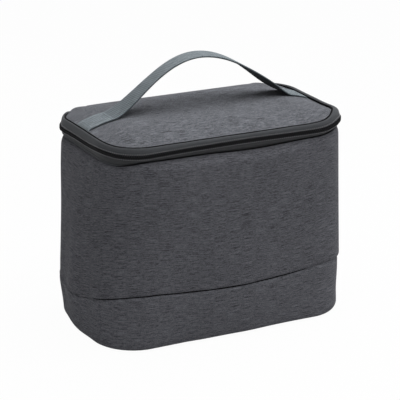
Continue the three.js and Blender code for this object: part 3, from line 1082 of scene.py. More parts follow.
    @classmethod
    def bead(cls, length: float, width: float, height: float) -> Piece:
        """A small rounded bar, along X, for scattering."""
        ball = {"segments": 8, "ring_count": 6, "radius": 0.5}
        piece = cls.added("bead", bpy.ops.mesh.primitive_uv_sphere_add, **ball)
        with cls.editing(piece):
            bpy.ops.transform.resize(value=(length, width, height))
        shape = cls.points(piece)
        size = np.array((length, width, height))
        squared = np.sign(shape) * np.abs(shape / size * 2) ** BEAD_POWER
        cls.set_points(piece, squared / 2 * size)
        return piece

    @classmethod
    def block(cls, name: str, low: Sequence[float], high: Sequence[float]) -> Piece:
        """A block between two corners, to be shaped further."""
        piece = cls.added(name, bpy.ops.mesh.primitive_cube_add, size=1.0)
        size = [b - a for a, b in zip(low, high)]
        middle = [(a + b) / 2 for a, b in zip(low, high)]
        with cls.editing(piece):
            bpy.ops.transform.resize(value=size)
            bpy.ops.transform.translate(value=middle)
        return piece

    @classmethod
    def bevel_edges(
        cls,
        piece: Piece,
        chosen: Callable[[Vector, Vector], bool],
        width: float,
        segments: int,
    ) -> None:
        """Rounds the edges of a piece that a test picks by their two ends."""
        corners = piece.data.vertices
        picked = [chosen(*(corners[end].co for end in edge.vertices)) for edge in piece.data.edges]
        with cls.picking(piece, "EDGE", picked):
            bpy.ops.mesh.bevel(offset=width, segments=segments, affect="EDGES")

    @classmethod
    def combine(cls, piece: Piece, other: Piece, operation: str) -> None:
        """Joins or cuts a piece with another, which is used up."""
        cls.modify(piece, "BOOLEAN", object=other, operation=operation, solver="EXACT")
        bpy.data.objects.remove(other)


@dataclass(frozen=True)
class Ripple:
    """Smooth waves in a surface: their height, their length along each axis, and the noise's seed."""

    height: float
    lengths: Triple
    seed: float

    def lift(self, piece: Piece) -> None:
        """Lifts a surface along its normals."""
        normals = np.zeros(len(piece.data.vertices) * 3, np.float32)
        piece.data.vertices.foreach_get("normal", normals)
        points = Workbench.points(piece)
        waves = np.array([noise.noise(Vector(p / np.array(self.lengths) + self.seed)) for p in points])
        Workbench.set_points(piece, points + normals.reshape(-1, 3) * (waves * self.height)[:, None])


@dataclass(frozen=True)
class Settling:
    """Cloth that settles between its sewn edges over a soft filling."""

    pressure: float
    frames: int = 16
    cap: float = 2.5 * MM
    stiffness: float = 12.0
    bending: float = 1.2
    mass: float = 0.25

    def run(self, piece: Piece, sewn: np.ndarray) -> None:
        """Simulates the cloth and keeps its settled shape.

        Args:
            piece: The piece, still a single sheet.
            sewn: Which of its points are held by a seam.
        """
        rest = Workbench.points(piece)
        group = piece.vertex_groups.new(name="sewn")
        group.add([int(i) for i in np.flatnonzero(sewn)], 1.0, "REPLACE")
        Workbench.take(piece)
        modifier = piece.modifiers.new("Settle", "CLOTH")
        modifier.collision_settings.use_collision = False
        modifier.point_cache.frame_start = 1
        modifier.point_cache.frame_end = self.frames
        cloth = modifier.settings
        cloth.quality = 5
        cloth.mass = self.mass
        cloth.tension_stiffness = self.stiffness
        cloth.compression_stiffness = self.stiffness
        cloth.shear_stiffness = self.stiffness / 3
        cloth.bending_stiffness = self.bending
        cloth.vertex_group_mass = group.name
        cloth.use_pressure = True
        cloth.uniform_pressure_force = self.pressure
        cloth.effector_weights.gravity = 0.0
        scene = bpy.context.scene
        for step in range(1, self.frames + 1):
            scene.frame_set(step)
        bpy.ops.object.modifier_apply(modifier=modifier.name)
        moved = Workbench.points(piece) - rest
        reach = np.linalg.norm(moved, axis=1, keepdims=True)
        held = self.cap * np.tanh(reach / self.cap)
        Workbench.set_points(piece, rest + moved * held / np.maximum(reach, 1e-9))
        piece.vertex_groups.clear()
        scene.frame_set(1)
        LOG.info("%s settled by up to %.2f mm", piece.name, 1000 * held.max())


def dress(
    piece: Piece,
    finish: Material,
    slot: Slot,
    nodes: Sequence[str] = (),
    body: Body | None = None,
) -> None:
    """Gives a piece its finish and its place in the assembly.

    Args:
        piece: The finished piece.
        finish: Its material.
        slot: The record's slot for its finish; not used.
        nodes: The nodes that it stands for.
        body: The body that it rides on, or None to leave it unattached.
    """
    piece.data.materials.clear()
    piece.data.materials.append(finish)
    if nodes:
        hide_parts(*nodes)
    if body is not None:
        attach(piece, body.value)
    LOG.info("%s: %d faces", piece.name, len(piece.data.polygons))


@dataclass
class BodyFabric:
    """The outer fabric of the body: the wrap, the band round its base, and the bottom panel."""

    form: BagForm
    canvas: Material
    # A lighter copy of the canvas for the band: painted light, for the light it gets from below
    band_canvas_painted_light: Material
    step: float = 2.5 * MM
    pucker: float = 0.5 * MM
    pucker_length: float = 19 * MM
    seam_fade: float = 16 * MM
    roll_steps: int = 6
    mouth_roll: Pair = (2.4 * MM, 8.0 * MM)
    hem_roll: Pair = (1.4 * MM, 3.0 * MM)
    hem_flare: float = 0.7 * MM
    hem_flare_run: Pair = (95 * MM, 150 * MM)
    band_roll: Pair = (1.7 * MM, 3.5 * MM)
    pillow: float = 2.8 * MM
    pillow_run: Triple = (175 * MM, 330 * MM, 40 * MM)
    pillow_rows: Pair = (10 * MM, 45 * MM)
    roll_power: float = 2.2
    seam_gap: float = 0.3 * MM
    band_out: float = 1.8 * MM
    foot_out: float = 0.5 * MM
    band_in_run: Pair = (385 * MM, 410 * MM)
    under_lap: float = 1.5 * MM
    clearance: float = 0.65 * MM
    crisp_corner: Waves = ((380 * MM, 55 * MM, 0.25),)
    base_steps: int = 10
    ripple: Ripple = Ripple(0.5 * MM, (38 * MM, 38 * MM, 22 * MM), 5.0)
    wall_cloth: float = 0.9
    wall_edge: float = 0.4 * MM
    band_cloth: float = 0.8
    gather_seeds: Pair = (11.0, 31.0)
    settling: Settling = field(default_factory=lambda: Settling(pressure=1.6))

    def build(self) -> None:
        """Makes and dresses the pieces."""
        self.wall()
        self.band()
        self.bottom()

    def wall(self) -> None:
        """The wrap: left side, front and right side in one padded piece."""
        form = self.form
        rows = math.ceil((form.mouth_level - form.band_height) / self.step)
        stations = form.stations(self.step)

        def profile(distance: float) -> Profile:
            """The wall at a distance, from its folded hem to its folded top."""
            tucked = ramp(distance, self.hem_flare_run)
            depth = self.hem_roll[0] * tucked - self.hem_flare * (1 - tucked)
            turned = self.rolled(depth, self.hem_roll[1])
            hem = [(inset, form.hem(distance) + rise) for inset, rise in reversed(turned)]
            top = [(inset, form.mouth(distance) - fall) for inset, fall in self.rolled(*self.mouth_roll)]
            middle = [(0.0, level) for level in spread(hem[-1][1], top[0][1], rows)[1:-1]]
            return [(inset - self.pillowed(distance, level), level) for inset, level in hem + middle + top]

        wall = Workbench.sheet("wall_fabric", form, stations, profile)
        self.gather(wall, form.mouth_level, form.band_height)
        row, column = np.divmod(np.arange(len(wall.data.vertices)), len(stations))
        edge = (row <= self.roll_steps) | (row >= row.max() - self.roll_steps)
        self.settling.run(wall, edge | (column == 0) | (column == column.max()))
        Workbench.thicken(wall, form.fabric * self.wall_cloth, self.wall_edge)
        dress(wall, self.canvas, Slot.FABRIC, ["outer_wall"], Body.BAG)

    def pillowed(self, distance: float, level: float) -> float:
        """How far the padded front swells out below the mouth."""
        first, last, fade = self.pillow_run
        rise, fall = self.pillow_rows
        below = self.form.mouth(distance) - level
        front = ease((distance - first) / fade) * (1 - ease((distance - last) / fade))
        return self.pillow * front * ease(below / rise) * (1 - ease((below - rise) / fall))

    def rolled(self, depth: float, reach: float) -> Profile:
        """A cushioned edge that rolls into its seam: its inset and how far it still is from the seam."""
        shares = spread(0.0, 1.0, self.roll_steps)
        return [(depth * share**self.roll_power, reach * (1 - share)) for share in shares]

    def gather(self, piece: Piece, high: float, low: float) -> None:
        """Draws the cloth in by uneven amounts along its two seams."""
        points = Workbench.points(piece)
        for seam, seed in zip((high, low), self.gather_seeds):
            near = np.exp(-np.abs(points[:, 2] - seam) / self.seam_fade)
            waves = [noise.noise(Vector((*(p[:2] / self.pucker_length), seed))) for p in points]
            inward = -points * np.array((1.0, 1.0, 0.0))
            inward /= np.linalg.norm(inward, axis=1, keepdims=True)
            points += inward * (np.array(waves) * near * self.pucker)[:, None]
        Workbench.set_points(piece, points)

    def band(self) -> None:
        """The band, which tucks up behind the wrap and rolls under the base."""
        form = self.form
        top = form.band_height + form.band_tuck
        rows = math.ceil((form.band_height - form.roll_level) / self.step)
        stations = form.round_stations(self.step)

        def profile(distance: float) -> Profile:
            """The band at a distance: rolled under, upright, and turned in where it meets the hem."""
            hem = form.hem(distance) - self.seam_gap if distance <= form.wrap_length else form.band_height
            shown = 1 - ramp(distance, self.band_in_run)
            foot = form.band_inset - self.foot_out * shown
            face = form.band_inset - self.band_out * shown
            radius = form.base_roll * (1 - humps(distance, self.crisp_corner))
            roll = [
                (foot + radius * (1 - math.cos(angle)), self.clearance + radius * (1 - math.sin(angle)))
                for angle in spread(QUARTER, 0.0, self.base_steps)
            ]
            turned = [(face + inset, hem - fall) for inset, fall in self.rolled(*self.band_roll)]
            levels = spread(roll[-1][1], turned[0][1], rows)
            upright = [(foot + (face - foot) * ease(k / rows), level) for k, level in enumerate(levels)]
            under = [(form.roll_inset + self.under_lap, self.clearance)]
            return under + roll + upright[1:-1] + turned + [(turned[-1][0], top)]

        band = Workbench.sheet("band_fabric", form, stations, profile, closed=True)
        self.ripple.lift(band)
        Workbench.thicken(band, form.fabric * self.band_cloth)
        dress(band, self.band_canvas_painted_light, Slot.FABRIC, ["base_band"], Body.BAG)

    def bottom(self) -> None:
        """The flat bottom panel."""
        form = self.form
        low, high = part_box("base_panel")
        radius = form.corner_radius + form.base_flare - form.roll_inset
        step = 4 * self.step
        panel = Workbench.plate("bottom_fabric", form, (low, high), step, radius, lambda x, y: high.z)
        Workbench.thicken(panel, high.z - low.z)
        dress(panel, self.canvas, Slot.FABRIC, ["base_panel"], Body.BAG)


def rounded(across: float, along: float, low: Vector, high: Vector, radius: float) -> Pair:
    """A point of a rectangle with round corners, from its shares of the width and depth."""
    middle = (low + high) / 2
    x = low.x + (high.x - low.x) * across - middle.x
    y = low.y + (high.y - low.y) * along - middle.y
    core_x = (high.x - low.x) / 2 - radius
    core_y = (high.y - low.y) / 2 - radius
    past_x = max(0.0, abs(x) - core_x)
    past_y = max(0.0, abs(y) - core_y)
    round_x = past_x * math.sqrt(1 - (past_y / radius) ** 2 / 2)
    round_y = past_y * math.sqrt(1 - (past_x / radius) ** 2 / 2)
    x = math.copysign(min(abs(x), core_x) + round_x, x)
    y = math.copysign(min(abs(y), core_y) + round_y, y)
    return middle.x + x, middle.y + y


@dataclass
class LidFabric:
    """The fabric of the lid's top, which runs on over the back edge and down the back of the bag."""

    form: BagForm
    canvas: Material
    step: float = 2.8 * MM
    edge: float = 4.9 * MM
    edge_lift: float = 0.7 * MM
    edge_lift_reach: float = 12 * MM
    edge_lines: list[float] = field(default_factory=lambda: spread(0.4 * MM, 6.0 * MM, 12))
    turn_down: float = 2.0 * MM
    turn_in: float = 0.8 * MM
    seam_end: float = 58 * MM
    seam_fade: float = 10 * MM
    rear_lap: float = 3.4 * MM
    rear_lap_reach: float = 14 * MM
    rear_lap_run: float = 12 * MM
    fold_lift: float = 1.8 * MM
    fold_reach: float = 14 * MM
    roll_drop: float = 5.0 * MM
    roll_steps: int = 7
    hinge_reach: float = 4 * MM
    hinge_tilt: float = 0.5
    cloth: float = 0.8
    edge_margin: float = 0.5 * MM
    sewn_x: Pair = (95 * MM, 121 * MM)
    sewn_y: Pair = (-8.5 * MM, 18.5 * MM)
    settling: Settling = field(default_factory=lambda: Settling(pressure=1.4, cap=1.6 * MM))

    def build(self) -> None:
        """Makes and dresses the piece."""
        form = self.form
        columns_x = self.lines(form.lid_width / 2 - self.edge, form.core_x)
        lines_y = self.lines(form.lid_depth / 2 - self.edge, form.core_y)
        back = self.back_profile()
        lid_rows = len(lines_y)
        side = len([x for x in columns_x if x < -form.core_x])
        heights = [y + form.lid_depth / 2 for y in lines_y]
        heights += [heights[-1] + length for length in running(back)[1:]]

        def place(i: int, j: int) -> Laid:
            """A point of the fabric and its distances along the cloth."""
            x = columns_x[i]
            corner = i < side or i >= len(columns_x) - side
            if j < lid_rows or corner:
                point = self.top_point(x, lines_y[min(j, lid_rows - 1)])
                ring = i in (0, len(columns_x) - 1) or j == 0 or j >= lid_rows
                return self.turned(point) if ring else point, (x, heights[j])
            return self.back_point(x, *back[j - lid_rows + 1]), (x, heights[j])

        rows = lid_rows + len(back) - 2
        lid = Workbench.laid_grid("lid_back_fabric", len(columns_x) - 1, rows, place)
        self.trim(lid, len(columns_x) - 1, lid_rows, side)
        self.settling.run(lid, self.sewn(Workbench.points(lid)))
        Workbench.thicken(lid, form.fabric * self.cloth)
        dress(lid, self.canvas, Slot.FABRIC, ["lid_top_panel", "lid_back_fold", "back_panel"])
        reach = Vector((0.0, -self.hinge_tilt * self.hinge_reach, self.hinge_reach))
        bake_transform(lid)

    def lines(self, half: float, core: float) -> list[float]:
        """Grid lines across the lid: on the middles of the corners, and doubled at the turned edge."""
        near = half - self.edge_lines[-1]
        outer = math.ceil((near - core) / self.step)
        inner = math.ceil(2 * core / self.step)
        rising = [*(half - line for line in reversed(self.edge_lines)), half, half]
        right = spread(core, near, outer)[:-1] + rising
        return [-x for x in reversed(right)] + spread(-core, core, inner)[1:-1] + right

    def level(self, x: float, y: float) -> float:
        """The lid's top at a point of the plan: sewn down along its seam, and folded over at the back."""
        form = self.form
        inset = form.lid_inset(x, y)
        sewn = 1 - ease((y - self.seam_end) / self.seam_fade)
        fold = self.fold_lift * ease(1 - inset / self.fold_reach)
        level = form.lid_top(inset) + form.droop(x, y, form.rim_height)
        lift = self.edge_lift * ease(1 - inset / self.edge_lift_reach)
        return level + sewn * lift + (1 - sewn) * fold

    def top_point(self, x: float, y: float) -> Vector:
        """A point of the lid's top, from a grid line's place."""
        form = self.form
        half = Vector((form.lid_width / 2 - self.edge, form.lid_depth / 2 - self.edge, 0.0))
        shares = ((x + half.x) / (2 * half.x), (y + half.y) / (2 * half.y))
        px, py = rounded(*shares, -half, half, form.corner_radius - self.edge)
        point = Vector((px, py, self.level(px, py)))
        return point + self.outward(point) * self.spread_out(px, py)

    def spread_out(self, x: float, y: float) -> float:
        """How far the fabric laps over the zip's ends at the rear, less what the right seam takes in."""
        form = self.form
        corner = ease((abs(x) - form.core_x) / self.rear_lap_run)
        behind = ease((y - self.seam_end) / self.seam_fade)
        near = ease(1 - (form.lid_inset(x, y) - self.edge) / self.rear_lap_reach)
        return near * (self.rear_lap * corner * behind - form.seam_shift(x) * (1 - behind))

    def outward(self, point: Vector) -> Vector:
        """The way out of the lid's plan at a point of its border."""
        form = self.form
        held_x = min(max(point.x, -form.core_x), form.core_x)
        held_y = min(max(point.y, -form.core_y), form.core_y)
        return (point - Vector((held_x, held_y, point.z))).normalized()

    def turned(self, point: Vector) -> Vector:
        """The turned-down edge below a point of the lid's outline."""
        return point - self.outward(point) * self.turn_in - Vector((0.0, 0.0, self.turn_down))

    def back_profile(self) -> Profile:
        """Inset and level down the back: over the rolled edge, past the hinge and down to the band."""
        form = self.form
        start = (self.edge, self.level(0.0, form.lid_depth / 2 - self.edge))
        roll_end = start[1] - self.roll_drop
        roll = bezier(start, (form.tape_setback, start[1]), (form.tape_setback, roll_end), self.roll_steps)
        drop = math.ceil((roll_end - form.band_height) / self.step)
        levels = spread(roll_end, form.band_height, drop)[1:]
        upper = form.track_low + form.tape_step
        lower = form.mouth_level - form.tape_step
        wall = [(form.tape_setback * ramp(z, (lower, upper)), z) for z in levels]
        return roll + wall

    def back_point(self, x: float, inset: float, level: float) -> Vector:
        """A point of the back, between the two upright seams."""
        form = self.form
        share = x / form.core_x
        bow = form.back_bow * (1 - share**2) ** 2
        spot = Spot(share * (form.core_x - form.fit_gap), form.core_y, 0.0, 1.0, bow)
        return form.wall_point(spot, inset, level)

    def trim(self, lid: Piece, columns: int, lid_rows: int, side: int) -> None:
        """Cuts away the grid beside the back, below the lid's rear corners."""
        picked = []
        for index in range(len(lid.data.polygons)):
            row, column = divmod(index, columns)
            beside = column < side or column >= columns - side
            picked.append(beside and row >= lid_rows)
        with Workbench.picking(lid, "FACE", picked):
            bpy.ops.mesh.delete(type="FACE")

    def sewn(self, points: np.ndarray) -> np.ndarray:
        """Which points a seam holds: the edge, the back, and the lid under the ends of the handle."""
        form = self.form
        insets = np.array([form.lid_inset(p[0], p[1]) for p in points])
        edge = insets < self.edge + self.edge_margin
        under = np.ones(len(points), bool)
        for places, (first, last) in ((np.abs(points[:, 0]), self.sewn_x), (points[:, 1], self.sewn_y)):
            under &= (places > first) & (places < last)
        return edge | under


@dataclass
class ZipChain:
    """The zip: two tapes, the teeth and the stitches that hold them."""

    form: BagForm
    tape: Material
    coil: Material
    thread: Material
    # A darker copy of the tape's finish, which paints shade on the lower tape
    tape_painted_shade: Material
    step: float = 2.5 * MM
    tape_edge: float = 0.7 * MM
    lip_inset: float = 2.6 * MM
    lip_level: float = 0.6 * MM
    roll_start: float = 1.8 * MM
    groove: float = 1.3 * MM
    groove_depth: float = 2.2 * MM
    full_lift: float = 0.35
    rear_fall: float = 2.6 * MM
    rear_run: Pair = (14 * MM, 30 * MM)
    sunk: float = 3.6 * MM
    sink: float = 1.5 * MM
    sink_rows: float = 4.5 * MM
    sink_run: Pair = (55 * MM, 95 * MM)
    sink_end: Pair = (350 * MM, 392 * MM)
    tail: float = 7 * MM
    tail_depth: float = 1.6 * MM
    step_out: Pair = (0.9 * MM, 3.2 * MM)
    pitch: float = 2.15 * MM
    tooth: Triple = (1.35 * MM, 1.7 * MM, 2.6 * MM)
    tooth_level: float = 0.7 * MM
    slot: float = 1.2 * MM
    slot_run: Pair = (418 * MM, 428 * MM)
    tick: Triple = (0.7 * MM, 0.9 * MM, 1.5 * MM)
    tick_level: float = 2.7 * MM
    dot: Triple = (0.9 * MM, 0.7 * MM, 1.0 * MM)
    dot_level: float = 2.6 * MM
    start: float = 31.4 * MM
    parked_gap: float = 0.6 * MM
    ripple: Ripple = Ripple(0.25 * MM, (24 * MM, 24 * MM, 10 * MM), 2.0)
    cloth: float = 0.75
    cut_edge: float = 0.2 * MM
    crest_share: float = 0.6
    hidden_height: float = 8 * MM
    bend: float = 0.4 * MM
    sunk_teeth: float = 0.1 * MM

    def build(self) -> None:
        """Makes and dresses the pieces."""
        self.rim()
        self.lower_tape()
        slider_low, slider_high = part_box("slider_body")
        closed_end = self.distance_on_right(slider_low.y - self.parked_gap)
        self.teeth("upper_teeth", 1, closed_end, ["zip_coil_upper"], Body.LID)
        lower_end = self.distance_on_right((slider_low.y + slider_high.y) / 2)
        self.teeth("lower_teeth", -1, lower_end, ["zip_coil_lower"], Body.BAG)
        self.stitches("upper_tape_stitches", self.tick, self.tick_level, Body.LID)
        self.stitches("lower_tape_stitches", self.dot, -self.dot_level, Body.BAG)

    def distance_on_right(self, y: float) -> float:
        """The distance along the outline of a point of the straight right side."""
        form = self.form
        turn = form.corner_radius * QUARTER
        return 3 * turn + 2 * form.core_y + 2 * form.core_x + (y + form.core_y)

    def sunken(self, distance: float, level: float = 0.0) -> float:
        """How far in the tape lies at a level above the chain, from the rear corner to the slider's run."""
        shown = ramp(distance, self.sink_run) * (1 - ramp(distance, self.sink_end))
        return self.sink * shown * (1 - ease(level / self.sink_rows))

    def rim(self) -> None:
        """The upper tape, rolled over the lid's edge into the seam."""
        form = self.form

        def profile(distance: float) -> Profile:
            """The tape at a distance, from the chain over the roll and down into the seam."""
            covered = 1 - ramp(min(distance, form.wrap_length - distance), self.rear_run)
            spot = form.spot(distance)
            shift = form.seam_shift(spot.x + spot.out_x * form.corner_radius) * (1 - covered)
            lip = form.rim_height - self.lip_level - self.rear_fall * covered + self.full_lift * shift
            crest = self.lip_inset + self.crest_share * shift
            width = crest - form.tape_setback
            inner = self.lip_inset + shift + self.groove
            low = form.chain_level(distance)
            start = low + self.roll_start
            upright = [(form.tape_setback, level) for level in spread(low + self.tape_edge, start, 2)]
            roll = [
                (crest - width * math.cos(angle), start + (lip - start) * math.sin(angle))
                for angle in spread(0.0, QUARTER, 12)
            ]
            down = bezier(roll[-1], (inner, lip), (inner, lip - self.groove_depth), 4)
            rows = upright + roll[1:]
            return [(inset + self.sunken(distance, level - low), level) for inset, level in rows] + down[1:]

        rim = Workbench.sheet("rim_tape", form, form.stations(self.step), profile)
        self.ripple.lift(rim)
        Workbench.thicken(rim, form.tape * self.cloth, self.cut_edge)
        dress(rim, self.tape, Slot.TAPE, ["zip_tape_upper"], Body.LID)

    def lower_tape(self) -> None:
        """The lower tape, which steps in behind the top of the wall; its finish is a darker copy of the
        tape's, painted shade below the chain.
        """
        form = self.form

        def profile(distance: float) -> Profile:
            """The tape at a distance, from behind the wall up to the chain."""
            mouth = form.mouth(distance)
            high = form.chain_level(distance) - self.tape_edge
            low, out = mouth + self.step_out[0], mouth + self.step_out[1]
            past_end = max(-distance, distance - form.wrap_length)
            front = form.tape_setback + self.sunken(distance) + self.tail_depth * ease(past_end / self.tail)
            foot = form.mouth_level - self.hidden_height
            upright = [(self.sunk, level) for level in spread(foot, low, 4)]
            bend = (self.sunk - self.bend, (low + out) / 2)
            step_out = bezier((self.sunk, low), bend, (front, out), 5)
            top = [(front, level) for level in spread(out, high, 4)]
            return upright + step_out[1:] + top[1:]

        stations = form.stations(self.step, -self.tail, form.wrap_length + self.tail)
        tape = Workbench.sheet("lower_tape", form, stations, profile)
        Workbench.thicken(tape, form.tape * self.cloth, self.cut_edge)
        dress(tape, self.tape_painted_shade, Slot.TAPE, ["zip_tape_lower"], Body.BAG)

    def along(self, distance: float, inset: float, level: float) -> Matrix:
        """The place at a level above the chain's middle: X runs along it, Y out of the bag and Z up."""
        form = self.form
        spot = form.spot(distance)
        out = Vector((spot.out_x, spot.out_y, 0.0))
        up = Vector((0.0, 0.0, 1.0))
        place = form.wall_point(spot, inset, form.chain_level(distance) + level)
        return framed((out.cross(up), out, up), place)

    def teeth(self, name: str, side: int, end: float, nodes: list[str], body: Body) -> None:
        """A row of teeth.

        Args:
            name: Name of the piece.
            side: 1 for the row above the middle of the chain, -1 for the one below.
            end: Distance along the outline at which the row ends.
            nodes: The nodes that it stands for.
            body: The body that it rides on.
        """
        form = self.form
        length, proud, height = self.tooth
        master = Workbench.bead(length, proud, height)
        offset = 0.0 if side > 0 else self.pitch / 2
        count = int((end - self.start - offset) / self.pitch)
        inset = form.tape_setback - proud / 2 + self.sunk_teeth
        frames = []
        for k in range(count):
            distance = self.start + offset + k * self.pitch
            level = side * (self.tooth_level + self.slot * ramp(distance, self.slot_run))
            frames.append(self.along(distance, inset + self.sunken(distance), level))
        row = Workbench.scatter(name, master, frames)
        dress(row, self.coil, Slot.COIL, nodes, body)

    def stitches(self, name: str, size: Triple, offset: float, body: Body) -> None:
        """A line of stitches along the tape, just outside the teeth.

        Args:
            name: Name of the piece.
            size: Length, width and height of a stitch.
            offset: Level of the line above the middle of the chain.
            body: The body that it rides on.
        """
        form = self.form
        master = Workbench.bead(*size)
        count = int((form.wrap_length - 2 * self.start) / self.pitch)
        places = [self.start + k * self.pitch for k in range(count)]
        insets = [form.tape_setback + self.sunken(place, offset) for place in places]
        frames = [self.along(place, inset, offset) for place, inset in zip(places, insets)]
        line = Workbench.scatter(name, master, frames)
        dress(line, self.thread, Slot.TAPE, (), body)


@dataclass
class SeamShadowCords:
    """Thin black cords in the seams under the lid's top, along the mouth and above the band: a painted
    shadow that stands in for the dark shade in these seams.
    """

    form: BagForm
    # Near-black finish of the cords, which paints the seams' shadow
    shadow_finish: Material
    step: float = 2.5 * MM
    lid_seam: Triple = (4.3 * MM, 0.9 * MM, 0.8 * MM)
    lid_run: Pair = (28 * MM, 532 * MM)
    lid_dive: float = 14 * MM
    full_lift: float = 0.2
    mouth_seam: Triple = (2.8 * MM, 0.3 * MM, 0.45 * MM)
    mouth_shown_run: Pair = (135 * MM, 165 * MM)
    band_seam: Triple = (1.4 * MM, 0.2 * MM, 0.7 * MM)
    hidden: float = 1.6 * MM
    cloth: float = 0.6
    cut_edge: float = 0.1 * MM
    band_shown_run: Pair = (116 * MM, 138 * MM)
    band_lost_run: Pair = (335 * MM, 385 * MM)

    def build(self) -> None:
        """Makes and dresses the pieces."""
        form = self.form
        wrap = form.stations(self.step)
        lid_wrap = form.stations(self.step, *self.lid_run)
        self.strand("lid_seam_shadow", lid_wrap, self.lid_line, self.lid_seam[2], Body.LID)
        self.strand("mouth_seam_shadow", wrap, self.mouth_line, self.mouth_seam[2], Body.BAG)
        self.strand("band_seam_shadow", wrap, self.band_line, self.band_seam[2], Body.BAG)

    def lid_line(self, distance: float) -> Pair:
        """Inset and level of the shadow cord round the lid, which dives into the seam at its two ends."""
        inset, fall, radius = self.lid_seam
        from_end = min(distance - self.lid_run[0], self.lid_run[1] - distance)
        dive = 2 * radius * (1 - ease(from_end / self.lid_dive))
        spot = self.form.spot(distance)
        shift = self.form.seam_shift(spot.x + spot.out_x * self.form.corner_radius)
        return inset + shift, self.form.rim_height - fall - dive + self.full_lift * shift

    def mouth_line(self, distance: float) -> Pair:
        """Inset and level of the shadow cord along the mouth, which the seam swallows along the left side.
        """
        inset, rise, _ = self.mouth_seam
        lost = self.hidden * (1 - ramp(distance, self.mouth_shown_run))
        return inset + lost, self.form.mouth(distance) + rise - lost

    def band_line(self, distance: float) -> Pair:
        """Inset and level of the shadow cord above the band, which the seam swallows along the two sides.
        """
        inset, fall, _ = self.band_seam
        shown = ramp(distance, self.band_shown_run) * (1 - ramp(distance, self.band_lost_run))
        return inset + self.hidden * (1 - shown), self.form.hem(distance) - fall

    def strand(
        self,
        name: str,
        stations: list[float],
        line: Callable[[float], Pair],
        radius: float,
        body: Body,
    ) -> None:
        """One length of black cord that paints the shadow in a seam.

        Args:
            name: Name of the piece.
            stations: Distances along the outline.
            line: Gives the inset and level of its middle at a distance.
            radius: Its radius.
            body: The body that it rides on.
        """

        def profile(distance: float) -> Profile:
            """The round of the shadow cord that shows at a distance."""
            inset, level = line(distance)
            return [
                (inset - radius * math.cos(angle), level + radius * math.sin(angle))
                for angle in spread(-QUARTER, 2 * QUARTER, 9)
            ]

        shadow_strand = Workbench.sheet(name, self.form, stations, profile)
        Workbench.thicken(shadow_strand, radius * self.cloth, self.cut_edge)
        dress(shadow_strand, self.shadow_finish, Slot.TAPE, (), body)


